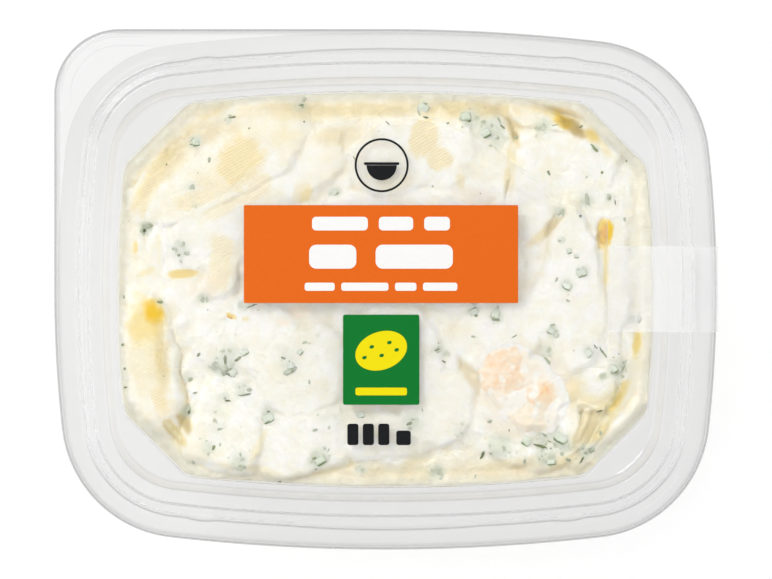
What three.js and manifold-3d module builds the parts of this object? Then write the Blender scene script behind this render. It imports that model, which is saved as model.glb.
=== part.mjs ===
// Ready-to-eat potato salad in a clear tub with a clear press-fit lid and a printed film label.
// All sizes are in millimetres. The tub stands on the plane Z = 0 with its middle over the origin,
// its length along X, and the lid's pull tab at the corner towards -X and +Y.
import * as THREE from "three";
import { mergeVertices } from "three/addons/utils/BufferGeometryUtils.js";
import Module from "manifold-3d";

const wasm = await Module();
wasm.setup();

// Outline of the pack from above: a rectangle with bowed sides and round corners
const LENGTH = 155;
const WIDTH = 121.8;
const LONG_BOW = 442; // radius of the two long sides
const SHORT_BOW = 295; // radius of the two short sides
const CORNER = 28.8;
const TAB_CORNER = 15.4; // the pull tab fills the bow at one corner of the lid

// Levels of the tub
const FLOOR = 0.8; // inside, over the standing ring
const FLOOR_RISE = 0.8; // the floor's middle is raised by this
const RIM = 47;
const LEDGE = RIM - 5.5; // the shelves in the tub's corners
const TUB_FLANGE = RIM - 3;
const TUB_WALL = 0.8;

// Levels of the lid
const LID_FLANGE = RIM - 2;
const LID_STEP = RIM + 0.9;
const LID_CROWN = RIM + 2.4;
const LID_PANEL = RIM - 1;
const LID_WALL = 0.6;

// Insets from the pack's outline, where the surfaces turn
const STEP_FOOT = 4.9; // the lid's snap wall
const CROWN_FOOT = 8.1;
const CROWN_EDGE = 11.7;
const PLUG_FOOT = 13.2; // the lid's plug, inside the tub's mouth
const MOUTH = 11.4; // the tub's mouth at the rim
const SHELF_EDGE = 13.2;
const WELL_TOP = 14.2; // the eight-sided well that holds the salad
const WELL_FOOT = 21;
const WELL_CHAMFER = 14.5; // leg of the well's cut corners at the shelf
const BASE = 24.6;

// Snap lugs along the lid's long sides, bulges at the foot of its snap wall
const LUG_DEPTH = 1.1;
const MIDDLE_LUG = 22; // half its length
const SIDE_LUG = 3.6; // half its length
const SIDE_LUG_AT = 43;

// Label
const FILM = 0.2;
const FILM_GAP = 0.1;
const LABEL_LENGTH = 103.6;
const LABEL_WIDTH = 36.6;
const LABEL_CORNER = 1.6;
const LABEL_REACH = 40.1; // how far the round belly reaches from the middle
const BELLY_RADIUS = 47.2;
const BELLY_FILLET = 17;
const SEAL_WIDTH = 20;

// Salad
const SALAD_GAP = 0.3;
const SALAD_TOP = LID_PANEL - 1.1;
const SALAD_EDGE = LEDGE - 1.1; // where the heap meets the wall
const SALAD_MIDDLE = LEDGE + 0.5;
const DEGREE = Math.PI / 180;

// The number of steps along a short side's half, round a corner and along a long side's half
const SHORT_STEPS = 3;
const CORNER_STEPS = 7;
const LONG_STEPS = 4;

// A curve of the bowed sides, inset from the pack's outline
const longSide = (inset, x) => WIDTH / 2 - LONG_BOW + Math.sqrt((LONG_BOW - inset) ** 2 - x * x);
const shortSide = (inset, y) => LENGTH / 2 - SHORT_BOW + Math.sqrt((SHORT_BOW - inset) ** 2 - y * y);

// Where the two bowed sides would meet at an inset. At an inset of CORNER it is the corners' centre
function sidesMeet(inset) {
  let x = LENGTH / 2 - inset;
  let y = WIDTH / 2 - inset;
  for (let turn = 0; turn < 12; turn += 1) {
    x = shortSide(inset, y);
    y = longSide(inset, x);
  }
  return [x, y];
}

const CENTRE = sidesMeet(CORNER);

// Shares of the long side's half at which a ring has points. The lid's have the lugs' ends and
// middles among them
const plainShares = Array.from({ length: LONG_STEPS + 1 }, (_, i) => i / LONG_STEPS);
const lugStations = [
  0,
  MIDDLE_LUG / 3,
  (MIDDLE_LUG * 2) / 3,
  MIDDLE_LUG,
  (MIDDLE_LUG + SIDE_LUG_AT - SIDE_LUG) / 2,
  SIDE_LUG_AT - SIDE_LUG,
  SIDE_LUG_AT,
  SIDE_LUG_AT + SIDE_LUG,
  CENTRE[0] + 2.8,
];
const lugShares = lugStations.map((at) => at / lugStations.at(-1));

// The three forms of a corner: each gives where the sides end and the points between
const arcPoints = (centre, radius, from, to) =>
  Array.from({ length: CORNER_STEPS + 1 }, (_, i) => {
    const angle = from + ((to - from) * i) / CORNER_STEPS;
    return [centre[0] + radius * Math.cos(angle), centre[1] + radius * Math.sin(angle)];
  });

function roundCorner(inset) {
  const from = Math.atan2(CENTRE[1], CENTRE[0] - (LENGTH / 2 - SHORT_BOW));
  const to = Math.atan2(CENTRE[1] - (WIDTH / 2 - LONG_BOW), CENTRE[0]);
  return arcPoints(CENTRE, CORNER - inset, from, to);
}

function cutCorner(inset) {
  const [x, y] = sidesMeet(inset);
  const leg = WELL_CHAMFER - (2 - Math.SQRT2) * (inset - WELL_TOP);
  const from = [shortSide(inset, y - leg), y - leg];
  const to = [x - leg, longSide(inset, x - leg)];
  return Array.from({ length: CORNER_STEPS + 1 }, (_, i) => {
    const share = i / CORNER_STEPS;
    return [from[0] + (to[0] - from[0]) * share, from[1] + (to[1] - from[1]) * share];
  });
}

function tabCorner(inset) {
  const centre = [LENGTH / 2 - TAB_CORNER, WIDTH / 2 - TAB_CORNER];
  return arcPoints(centre, TAB_CORNER - inset, 0, Math.PI / 2);
}

// A quarter of the outline, from the middle of the short side to the middle of the long side
function quarter(inset, cornerForm, shares) {
  const corner = cornerForm(inset);
  const straight = cornerForm === tabCorner;
  const [, shortEnd] = corner[0];
  const [longEnd] = corner.at(-1);
  const points = [];
  for (let i = 0; i < SHORT_STEPS; i += 1) {
    const y = (shortEnd * i) / SHORT_STEPS;
    points.push([straight ? LENGTH / 2 - inset : shortSide(inset, y), y]);
  }
  points.push(...corner);
  for (let i = shares.length - 2; i >= 0; i -= 1) {
    const x = longEnd * shares[i];
    points.push([x, straight ? WIDTH / 2 - inset : longSide(inset, x)]);
  }
  return points;
}

// A whole ring, anticlockwise from +X, with its own form in the tab's corner
function ring(inset, z, { form = roundCorner, tabForm = form, shares = plainShares } = {}) {
  const plain = quarter(inset, form, shares);
  const tab = quarter(inset, tabForm, shares);
  const turned = (points, sx, sy) => points.map(([x, y]) => [x * sx, y * sy, z]);
  const back = (points) => [...points].reverse();
  return [
    ...turned(plain, 1, 1).slice(0, -1),
    ...turned(back(tab), -1, 1).slice(0, -1),
    ...turned(plain, -1, -1).slice(0, -1),
    ...turned(back(plain), 1, -1).slice(0, -1),
  ];
}

const well = (inset, z) => ring(inset, z, { form: cutCorner });
const lidRing = (inset, z) => ring(inset, z, { shares: lugShares });
const lidFlange = (inset, z) => ring(inset, z, { tabForm: tabCorner, shares: lugShares });

// Moves a ring outwards where the snap lugs are
function withLugs(points) {
  const bulge = (x, at, half) => Math.max(0, 1 - ((x - at) / half) ** 2);
  return points.map(([x, y, z]) => {
    const onLongSide = Math.abs(y) > WIDTH / 2 - CORNER / 2;
    const size = bulge(x, 0, MIDDLE_LUG) + bulge(Math.abs(x), SIDE_LUG_AT, SIDE_LUG);
    return [x, onLongSide ? y + Math.sign(y) * LUG_DEPTH * size : y, z];
  });
}

// A closed skin through rings from the middle of its upper side to the middle of its underside
function loft(rings) {
  const count = rings[0].length;
  const positions = rings.flat(2);
  const index = [];
  for (let r = 0; r + 1 < rings.length; r += 1) {
    for (let i = 0; i < count; i += 1) {
      const next = (i + 1) % count;
      const a = r * count + i;
      const b = r * count + next;
      const c = a + count;
      const d = b + count;
      index.push(a, c, b, b, c, d);
    }
  }
  for (const [r, up] of [[0, true], [rings.length - 1, false]]) {
    const hub = positions.length / 3;
    positions.push(0, 0, rings[r][0][2]);
    for (let i = 0; i < count; i += 1) {
      const a = r * count + i;
      const b = r * count + ((i + 1) % count);
      index.push(...(up ? [hub, a, b] : [hub, b, a]));
    }
  }
  const geometry = new THREE.BufferGeometry();
  geometry.setAttribute("position", new THREE.Float32BufferAttribute(positions, 3));
  geometry.setIndex(index);
  return geometry;
}

// Booleans
function solid(geometry) {
  const bare = geometry.clone();
  bare.deleteAttribute("normal");
  bare.deleteAttribute("uv");
  const merged = mergeVertices(bare, 1e-4);
  return new wasm.Manifold(
    new wasm.Mesh({
      numProp: 3,
      vertProperties: new Float32Array(merged.attributes.position.array),
      triVerts: new Uint32Array(merged.index.array),
    }),
  );
}

function geometryOf(body) {
  const mesh = body.getMesh();
  const geometry = new THREE.BufferGeometry();
  geometry.setAttribute("position", new THREE.BufferAttribute(mesh.vertProperties, 3));
  geometry.setIndex(new THREE.BufferAttribute(mesh.triVerts, 1));
  return geometry;
}

// The tub: well, corner shelves, mouth, flat rim, skirt and flange with a turned-down lip
function tubGeometry() {
  const raised = FLOOR + FLOOR_RISE;
  const inside = [
    well(BASE + 5, raised),
    well(BASE + 3.6, FLOOR),
    well(BASE - 0.6, FLOOR),
    well(WELL_FOOT + 0.9, FLOOR + 0.7),
    well(WELL_FOOT - 0.1, FLOOR + 3.2),
    well(WELL_TOP + 0.3, LEDGE - 0.6),
    well(WELL_TOP, LEDGE),
    ring(SHELF_EDGE, LEDGE),
    ring(MOUTH + 0.8, RIM - 1.6),
    ring(MOUTH + 0.4, RIM - 0.5),
    ring(MOUTH, RIM),
  ];
  const outside = [
    ring(6.6, RIM),
    ring(6.1, RIM - 0.5),
    ring(6, TUB_FLANGE + 0.5),
    ring(5.5, TUB_FLANGE),
    ring(1.9, TUB_FLANGE),
    ring(1.5, TUB_FLANGE - 0.5),
    ring(1.5, TUB_FLANGE - 1.8),
    ring(2.1, TUB_FLANGE - 1.8),
    ring(2.2, TUB_FLANGE - TUB_WALL),
    ring(6.4, TUB_FLANGE - TUB_WALL),
    ring(6.9, TUB_FLANGE - 0.2),
    ring(7, RIM - TUB_WALL),
    ring(MOUTH - 0.4, RIM - TUB_WALL),
    ring(SHELF_EDGE - 0.7, LEDGE - TUB_WALL),
    well(WELL_TOP - 0.5, LEDGE - TUB_WALL - 0.1),
    well(WELL_FOOT - 0.9, FLOOR + 3),
    well(WELL_FOOT + 0.3, 0.4),
    well(WELL_FOOT + 1.4, 0),
    well(BASE + 2.6, 0),
    well(BASE + 4.2, FLOOR_RISE),
  ];
  return loft([...inside, ...outside]);
}

// The lid: panel, plug wall, crown, step, snap wall and flange, with the pull tab in one corner
function lidGeometry() {
  const above = [
    lidRing(PLUG_FOOT + 1, LID_PANEL),
    lidRing(PLUG_FOOT, LID_PANEL + 0.4),
    lidRing(CROWN_EDGE + 0.2, LID_CROWN - 0.4),
    lidRing(CROWN_EDGE - 0.2, LID_CROWN),
    lidRing(CROWN_FOOT + 0.7, LID_CROWN),
    lidRing(CROWN_FOOT + 0.2, LID_CROWN - 0.4),
    lidRing(CROWN_FOOT, LID_STEP + 0.3),
    lidRing(CROWN_FOOT - 0.3, LID_STEP),
    lidRing(STEP_FOOT + 0.7, LID_STEP),
    lidRing(STEP_FOOT + 0.2, LID_STEP - 0.5),
    withLugs(lidRing(STEP_FOOT, LID_FLANGE + 0.5)),
    withLugs(lidRing(STEP_FOOT - 0.4, LID_FLANGE)),
    lidFlange(1.1, LID_FLANGE),
    lidFlange(0.3, LID_FLANGE - 0.3),
    lidFlange(0, LID_FLANGE - 1),
    lidFlange(0, LID_FLANGE - 1.8),
  ];
  const below = [
    lidFlange(0.6, LID_FLANGE - 1.8),
    lidFlange(0.7, LID_FLANGE - 0.9),
    lidFlange(1.3, LID_FLANGE - LID_WALL),
    lidRing(STEP_FOOT - 0.2, LID_FLANGE - LID_WALL),
    lidRing(STEP_FOOT + 0.7, LID_FLANGE),
    lidRing(STEP_FOOT + 0.8, LID_STEP - 1.1),
    lidRing(STEP_FOOT + 1.2, LID_STEP - LID_WALL),
    lidRing(CROWN_FOOT + 0.2, LID_STEP - LID_WALL),
    lidRing(CROWN_FOOT + 0.7, LID_STEP),
    lidRing(CROWN_FOOT + 0.9, LID_CROWN - 1),
    lidRing(CROWN_FOOT + 1.2, LID_CROWN - LID_WALL),
    lidRing(CROWN_EDGE - 0.6, LID_CROWN - LID_WALL),
    lidRing(PLUG_FOOT - 0.6, LID_PANEL - 0.2),
    lidRing(PLUG_FOOT + 0.2, LID_PANEL - LID_WALL),
  ];
  return loft([...above, ...below]);
}

// Random numbers that come out the same every time
function seeded(seed) {
  let state = seed;
  return () => {
    state = (state * 1664525 + 1013904223) % 4294967296;
    return state / 4294967296;
  };
}

// The larger pieces that show in the heap: potato lumps and slices, and one chunk of egg.
// at: the middle, size: length, width and height, turn: degrees about Z, tilt: degrees about
// the piece's own length, rise: its highest point above the shelves
const PIECES = [
  { at: [-42, 27], size: [40, 21, 13], turn: 36, tilt: -8, rise: 2.8 },
  { at: [-52, 2], size: [13, 29, 11], turn: 6, tilt: 0, rise: 1.4 },
  { at: [-53.5, -18], size: [11, 27, 12], turn: 8, tilt: 10, rise: 2.5 },
  { at: [-47.5, -35], size: [6, 12, 8], turn: 28, tilt: 24, rise: 0.9 },
  { at: [-36.5, -31.5], size: [20, 22, 12], turn: -20, tilt: 0, rise: 3 },
  { at: [-36, -10], size: [21, 20, 10], turn: 10, tilt: 0, rise: 2.1 },
  { at: [-37, 9], size: [15, 17, 9], turn: 30, tilt: 6, rise: 2 },
  { at: [-22, 36], size: [22, 9, 8], turn: 6, tilt: 0, rise: 0.9 },
  { at: [-14, 26], size: [24, 18, 11], turn: -38, tilt: 0, rise: 2.5 },
  { at: [-23, -36], size: [22, 13, 10], turn: 14, tilt: 8, rise: 2.3 },
  { at: [-18, -20], size: [25, 26, 12], turn: 40, tilt: 0, rise: 2.6 },
  { at: [-12, 2], size: [30, 24, 11], turn: 0, tilt: 0, rise: 2.2 },
  { at: [0, -34], size: [26, 14, 10], turn: -4, tilt: 0, rise: 2.2 },
  { at: [9, 30], size: [19, 25, 12], turn: 12, tilt: 8, rise: 2.7 },
  { at: [12, -13], size: [26, 28, 11], turn: 20, tilt: 0, rise: 2.3 },
  { at: [15, 9], size: [26, 22, 11], turn: -12, tilt: 0, rise: 2.3 },
  { at: [15, -40.5], size: [20, 7, 7], turn: 3, tilt: 0, rise: 0.8 },
  { at: [25.5, 32], size: [9, 25, 11], turn: 6, tilt: 12, rise: 2.7 },
  { at: [36.5, 39], size: [14, 8, 8], turn: -25, tilt: 0, rise: 1.4 },
  { at: [41, 28], size: [23, 20, 11], turn: -32, tilt: 0, rise: 2.9 },
  { at: [34, 13], size: [11, 11, 9], turn: 24, tilt: 0, rise: 1.9 },
  { at: [43, 2], size: [18, 38, 13], turn: 3, tilt: 0, rise: 3.3 },
  { at: [56, 15], size: [9, 36, 10], turn: -3, tilt: 0, rise: 1.6 },
  { at: [54.5, -12], size: [10, 23, 10], turn: 5, tilt: 0, rise: 1.9 },
  { at: [32.5, -23.5], size: [21, 19, 12], turn: -28, tilt: 0, rise: 3.2 },
  { at: [49, -23], size: [11, 12, 10], turn: 10, tilt: 0, rise: 2.4 },
  { at: [28, -38], size: [19, 10, 8], turn: -8, tilt: 0, rise: 1.1 },
  { at: [54, -31], size: [8, 13, 8], turn: -34, tilt: 0, rise: 0.7 },
];

// A rounded, uneven piece of boiled potato
function potatoPiece({ at, size, turn, tilt, rise }, random) {
  const large = Math.max(...size) > 16;
  const geometry = mergeVertices(new THREE.IcosahedronGeometry(1, large ? 2 : 1).deleteAttribute("uv"), 1e-4);
  const squareness = 0.78; // flattens the ball's sides, as a cut piece has
  const wave = [random() * 6, random() * 6, random() * 6];
  const point = new THREE.Vector3();
  const place = geometry.attributes.position;
  for (let i = 0; i < place.count; i += 1) {
    point.fromBufferAttribute(place, i);
    const dent = 1 + 0.07 * Math.sin(3.1 * point.x + wave[0]) * Math.cos(2.7 * point.y + wave[1] + point.z * wave[2]);
    for (const axis of ["x", "y", "z"]) {
      point[axis] = Math.sign(point[axis]) * Math.abs(point[axis]) ** squareness * dent;
    }
    place.setXYZ(i, (point.x * size[0]) / 2, (point.y * size[1]) / 2, (point.z * size[2]) / 2);
  }
  geometry.rotateX(tilt * DEGREE);
  geometry.rotateZ(turn * DEGREE);
  geometry.computeBoundingBox();
  geometry.translate(at[0], at[1], LEDGE + rise - geometry.boundingBox.max.z);
  return geometry;
}

// A flake of herb that lies half sunk on the heap
const FLAKES = 28;
const FLAKE = [2.4, 1.1, 0.6];

function flakeOn(surface, random) {
  const ray = new THREE.Raycaster();
  const spread = sidesMeet(WELL_TOP + 4);
  const from = new THREE.Vector3((2 * random() - 1) * spread[0], (2 * random() - 1) * spread[1], RIM + 10);
  if (Math.abs(from.x) + Math.abs(from.y) > spread[0] + spread[1] - WELL_CHAMFER) {
    return null;
  }
  ray.set(from, new THREE.Vector3(0, 0, -1));
  const hit = ray.intersectObject(surface)[0];
  if (hit.point.z > SALAD_TOP - 0.6 || hit.face.normal.z < 0.8) {
    return null;
  }
  const flake = new THREE.BoxGeometry(FLAKE[0], FLAKE[1] * (0.6 + 0.8 * random()), FLAKE[2]);
  flake.rotateZ(random() * Math.PI);
  const lean = new THREE.Quaternion().setFromUnitVectors(new THREE.Vector3(0, 0, 1), hit.face.normal);
  flake.applyQuaternion(lean);
  flake.translate(hit.point.x, hit.point.y, hit.point.z);
  return flake;
}

// The heap: a core that fills the well, the larger pieces and the herb flakes fused to it
function saladGeometry() {
  const random = seeded(11);
  const floor = FLOOR + FLOOR_RISE + SALAD_GAP;
  const foot = [well(WELL_FOOT + 0.3, FLOOR + 3.4), well(WELL_FOOT + 2, floor)];
  const wall = WELL_TOP + 0.3 + SALAD_GAP + 0.1;
  const core = loft([well(wall + 6, SALAD_MIDDLE), well(wall, SALAD_EDGE), ...foot]);
  const room = loft([well(wall, SALAD_TOP), ...foot]);
  let heap = solid(core);
  for (const piece of PIECES) {
    heap = heap.add(solid(potatoPiece(piece, random)));
  }
  heap = heap.intersect(solid(room));
  const surface = new THREE.Mesh(geometryOf(heap));
  for (let placed = 0; placed < FLAKES; ) {
    const flake = flakeOn(surface, random);
    if (flake) {
      heap = heap.add(solid(flake));
      placed += 1;
    }
  }
  return geometryOf(heap.intersect(solid(room)));
}

// The label's flat part: a band with a round belly above and below
function labelShape() {
  const x = LABEL_LENGTH / 2;
  const y = LABEL_WIDTH / 2;
  const drop = LABEL_REACH - BELLY_RADIUS; // the belly's centre, from the label's middle
  const rise = y + BELLY_FILLET - drop;
  const out = Math.sqrt((BELLY_RADIUS + BELLY_FILLET) ** 2 - rise ** 2);
  const touch = Math.atan2(rise, out);
  const shape = new THREE.Shape();
  shape.moveTo(x, 0);
  for (const side of [1, -1]) {
    const q = (angle) => (side > 0 ? angle : angle + Math.PI);
    const sx = side * x;
    shape.absarc(sx - side * LABEL_CORNER, side * (y - LABEL_CORNER), LABEL_CORNER, q(0), q(Math.PI / 2), false);
    shape.absarc(side * out, side * (y + BELLY_FILLET), BELLY_FILLET, q(-Math.PI / 2), q(touch - Math.PI), true);
    shape.absarc(0, side * drop, BELLY_RADIUS, q(touch), q(Math.PI - touch), false);
    shape.absarc(-side * out, side * (y + BELLY_FILLET), BELLY_FILLET, q(-touch), q(-Math.PI / 2), true);
    shape.absarc(-sx + side * LABEL_CORNER, side * (y - LABEL_CORNER), LABEL_CORNER, q(Math.PI / 2), q(Math.PI), false);
  }
  return shape;
}

// The seal: the label's tail, from the panel over the rim and round the flange's edge.
// Each point is an inset from the pack's outline and a level, on the film's inner face
const SEAL_PATH = [
  [30, LID_PANEL + FILM_GAP],
  [15.4, LID_PANEL + FILM_GAP],
  [CROWN_EDGE + 0.4, LID_CROWN + FILM_GAP],
  [CROWN_FOOT + 0.4, LID_CROWN + FILM_GAP],
  [STEP_FOOT + 0.4, LID_STEP + FILM_GAP],
  [STEP_FOOT - 0.9, LID_FLANGE + FILM_GAP],
  [1, LID_FLANGE + FILM_GAP],
  [0.1, LID_FLANGE - 0.1],
  [-0.1, LID_FLANGE - 0.8],
  [-0.1, LID_FLANGE - 1.9],
  [1.4, TUB_FLANGE - 1.9],
  [2.3, TUB_FLANGE - 1.9],
  [2.9, TUB_FLANGE - TUB_WALL - 0.2],
  [5.2, TUB_FLANGE - TUB_WALL - 0.2],
];

function ribbonShape(points, thickness) {
  const outer = points.map((point, i) => {
    const before = points[Math.max(i - 1, 0)];
    const after = points[Math.min(i + 1, points.length - 1)];
    const unit = (p, q) => {
      const size = Math.hypot(q[0] - p[0], q[1] - p[1]);
      return size === 0 ? null : [-(q[1] - p[1]) / size, (q[0] - p[0]) / size];
    };
    const normals = [unit(before, point), unit(point, after)].filter((normal) => normal);
    const sum = normals.reduce((a, b) => [a[0] + b[0], a[1] + b[1]], [0, 0]);
    const along = Math.hypot(...sum);
    const mean = [sum[0] / along, sum[1] / along];
    const stretch = 1 / (mean[0] * normals[0][0] + mean[1] * normals[0][1]);
    return [point[0] + mean[0] * thickness * stretch, point[1] + mean[1] * thickness * stretch];
  });
  return new THREE.Shape([...points, ...outer.reverse()].map(([x, y]) => new THREE.Vector2(x, y)));
}

function labelGeometry() {
  const flat = new THREE.ExtrudeGeometry(labelShape(), { depth: FILM, bevelEnabled: false, curveSegments: 8 });
  flat.translate(0, 0, LID_PANEL + FILM_GAP);
  const path = SEAL_PATH.map(([inset, z]) => [LENGTH / 2 - inset, z]);
  const seal = new THREE.ExtrudeGeometry(ribbonShape(path, FILM), { depth: SEAL_WIDTH, bevelEnabled: false });
  seal.rotateX(Math.PI / 2);
  seal.translate(0, SEAL_WIDTH / 2, 0);
  return geometryOf(solid(flat).add(solid(seal)));
}

// Printed fields: thin plates that lie on the film
const INK = 0.15;
const PRINT = LID_PANEL + FILM_GAP + FILM + 0.05;

function roundedRectangle(x0, y0, x1, y1, radius) {
  const shape = new THREE.Shape();
  shape.absarc(x1 - radius, y0 + radius, radius, -Math.PI / 2, 0, false);
  shape.absarc(x1 - radius, y1 - radius, radius, 0, Math.PI / 2, false);
  shape.absarc(x0 + radius, y1 - radius, radius, Math.PI / 2, Math.PI, false);
  shape.absarc(x0 + radius, y0 + radius, radius, Math.PI, Math.PI * 1.5, false);
  return shape;
}

function plate(shape, z, thickness, curveSegments = 3) {
  const geometry = new THREE.ExtrudeGeometry(shape, { depth: thickness, bevelEnabled: false, curveSegments });
  geometry.translate(0, 0, z);
  return geometry;
}

// The banner, with three rows of raised bars.
// Each row is a level, a height and the lengths of its bars, with a gap of the row's height between
const BANNER = [-33, -3.2, 30.9, 19.6];
const BANNER_ROWS = [
  { y: 15.3, height: 3.2, bars: [13, 8, 6] },
  { y: 7.6, height: 5.6, bars: [11, 18] },
  { y: 0.6, height: 1.9, bars: [7, 11, 5, 8] },
];

function bannerGeometry() {
  const [x0, y0, x1, y1] = BANNER;
  let body = solid(plate(roundedRectangle(x0, y0, x1, y1, 0.3), PRINT, INK, 1));
  for (const { y, height, bars } of BANNER_ROWS) {
    const gap = height * 0.8;
    const total = bars.reduce((sum, bar) => sum + bar + gap, -gap);
    let x = (x0 + x1) / 2 - total / 2;
    for (const bar of bars) {
      const shape = roundedRectangle(x, y - height / 2, x + bar, y + height / 2, height * 0.3);
      body = body.add(solid(plate(shape, PRINT + INK / 2, INK, 1)));
      x += bar + gap;
    }
  }
  return geometryOf(body);
}

// The green field, with a raised oval and a bar below it
const STAMP = [-9.9, -26.9, 7.9, -5.9];

function stampGeometry() {
  const [x0, y0, x1, y1] = STAMP;
  const middle = (x0 + x1) / 2;
  const oval = new THREE.Shape();
  oval.absellipse(middle, y1 - 8.4, 6.2, 4.4, 0, Math.PI * 2, false, 0.35);
  return geometryOf(
    solid(plate(roundedRectangle(x0, y0, x1, y1, 0.5), PRINT, INK, 2))
      .add(solid(plate(oval, PRINT + INK / 2, INK, 12)))
      .add(solid(plate(roundedRectangle(middle - 6, y0 + 2.2, middle + 6, y0 + 4, 0.5), PRINT + INK / 2, INK, 2))),
  );
}

// The mark above the banner: a round line with a plain bowl inside
const MARK_AT = [-0.9, 28.9];
const MARK_RADIUS = 6.3;
const MARK_LINE = 0.5;

function markRingGeometry() {
  const shape = new THREE.Shape();
  shape.absarc(...MARK_AT, MARK_RADIUS, 0, Math.PI * 2, false);
  const hole = new THREE.Path();
  hole.absarc(...MARK_AT, MARK_RADIUS - MARK_LINE, 0, Math.PI * 2, true);
  shape.holes.push(hole);
  return plate(shape, PRINT, INK, 14);
}

function markBowlGeometry() {
  const [x, y] = MARK_AT;
  const radius = MARK_RADIUS * 0.56;
  const bowl = new THREE.Shape();
  bowl.absarc(x, y, radius, Math.PI, Math.PI * 2, false);
  const brim = roundedRectangle(x - radius - 0.6, y - 0.3, x + radius + 0.6, y + 0.5, 0.3);
  return geometryOf(solid(plate(bowl, PRINT, INK, 8)).add(solid(plate(brim, PRINT, INK, 2))));
}

// The row of dark blocks below the green field
const BLOCKS_Y = -33.8;
const BLOCKS = [
  { x: -7.6, width: 2.6, height: 5 },
  { x: -4, width: 2.6, height: 5 },
  { x: -0.4, width: 2.6, height: 5 },
  { x: 4.2, width: 3.4, height: 3.4 },
];

const blockGeometry = ({ x, width, height }) =>
  plate(roundedRectangle(x - width / 2, BLOCKS_Y - 2.5, x + width / 2, BLOCKS_Y - 2.5 + height, 0.6), PRINT, INK, 2);

// Materials
const finish = (color, roughness, extra = {}) =>
  new THREE.MeshStandardMaterial({ color, roughness, metalness: 0, ...extra });
const clearPlastic = finish(0xe6e8e9, 0.08, { transparent: true, opacity: 0.3 });
const clearFilm = finish(0xffffff, 0.35, { transparent: true, opacity: 0.42 });
const creamyPotato = finish(0xf7f3e8, 0.42);
const orangeInk = finish(0xed7224, 0.4);
const greenInk = finish(0x008032, 0.4);
const blackInk = finish(0x16171a, 0.4);

const pack = new THREE.Group();
function addNode(name, geometry, material) {
  geometry.computeVertexNormals();
  const mesh = new THREE.Mesh(geometry, material);
  mesh.name = name;
  pack.add(mesh);
}

addNode("tub", tubGeometry(), clearPlastic);
addNode("lid", lidGeometry(), clearPlastic);
addNode("salad", saladGeometry(), creamyPotato);
addNode("label", labelGeometry(), clearFilm);
addNode("print_banner", bannerGeometry(), orangeInk);
addNode("print_stamp", stampGeometry(), greenInk);
addNode("print_mark_ring", markRingGeometry(), blackInk);
addNode("print_mark_bowl", markBowlGeometry(), blackInk);
BLOCKS.forEach((block, i) => addNode(`print_block_${i + 1}`, blockGeometry(block), blackInk));

export default pack;
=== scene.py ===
"""Looks of a shut, clear tub of creamy potato salad, seen from straight above.

The tub and the lid are fine lofts of the same rings as the CAD solids, clear plastic with every turn
rounded. The salad is one dressed surface of overlapping potato slices cut to the tub's inside, with its
bare potato, egg, cucumber and herbs as pieces of their own. Sizes are in millimetres and become metres
when a mesh is made.
"""

import math

import bpy
import numpy as np
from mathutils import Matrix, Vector


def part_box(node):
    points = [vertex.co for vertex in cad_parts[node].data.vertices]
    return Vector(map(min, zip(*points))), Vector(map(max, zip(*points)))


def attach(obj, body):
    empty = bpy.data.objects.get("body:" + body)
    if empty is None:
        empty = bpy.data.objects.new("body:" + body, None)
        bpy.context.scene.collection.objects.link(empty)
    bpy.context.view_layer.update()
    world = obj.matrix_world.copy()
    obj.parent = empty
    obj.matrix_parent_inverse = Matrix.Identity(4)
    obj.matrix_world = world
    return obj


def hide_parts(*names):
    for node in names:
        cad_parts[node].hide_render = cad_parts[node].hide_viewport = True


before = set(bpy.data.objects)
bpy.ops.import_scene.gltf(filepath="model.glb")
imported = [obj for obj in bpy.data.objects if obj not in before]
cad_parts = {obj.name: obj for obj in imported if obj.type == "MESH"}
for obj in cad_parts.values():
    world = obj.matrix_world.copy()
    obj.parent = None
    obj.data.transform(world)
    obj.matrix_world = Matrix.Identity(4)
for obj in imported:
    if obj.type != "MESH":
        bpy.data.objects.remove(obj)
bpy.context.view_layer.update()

MM = 0.001

# The pack's outline from above: bowed sides, round corners and one squarer corner with the pull tab
low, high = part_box("lid")
LENGTH = (high.x - low.x) / MM
WIDTH = (high.y - low.y) / MM
LONG_BOW = 442.0
SHORT_BOW = 295.0
CORNER = 28.8
TAB_CORNER = 15.4

# Levels
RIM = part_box("tub")[1].z / MM
LEDGE = RIM - 5.5
# The sheet has its real thickness here, less than the solids' walls
TUB_SHEET = 0.45
FLOOR = TUB_SHEET
TUB_FLANGE = RIM - 3
LID_FLANGE = RIM - 2
LID_STEP = RIM + 0.9
LID_CROWN = RIM + 2.4
LID_PANEL = RIM - 1
LID_SHEET = 0.35

# Insets from the outline
STEP_FOOT = 5.2
CROWN_FOOT = 8.1
CROWN_EDGE = 11.7
PLUG_FOOT = 13.2
MOUTH = 11.4
SHELF_EDGE = 13.2
WELL_TOP = 14.2
WELL_FOOT = 21.0
WELL_CHAMFER = 13.3
BASE = 24.6

# Lugs along the lid's long sides
LUG_DEPTH = 0.4
MIDDLE_LUG = 22.0
SIDE_LUG = 3.6
SIDE_LUG_AT = 43.0

# The raised lines round the tab fade out from their middle: its place from the corner, reach and fade
TAB_LINES_AT = (11, 8)
TAB_LINES_REACH = 15
TAB_LINES_FADE = 4

# Where the film leaves the lid's panel as the seal
SEAL_START = 51.5

# The photograph's scale and the pack's middle in it
MM_PER_PIXEL = 0.23343
PHOTO_MIDDLE = (385.5, 289.3)
PHOTO_SIZE = (772, 579)


def from_photo(px, py):
    """A place on the pack, in millimetres, from its pixel in the photograph."""
    return (px - PHOTO_MIDDLE[0]) * MM_PER_PIXEL, (PHOTO_MIDDLE[1] - py) * MM_PER_PIXEL


# Rings

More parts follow.
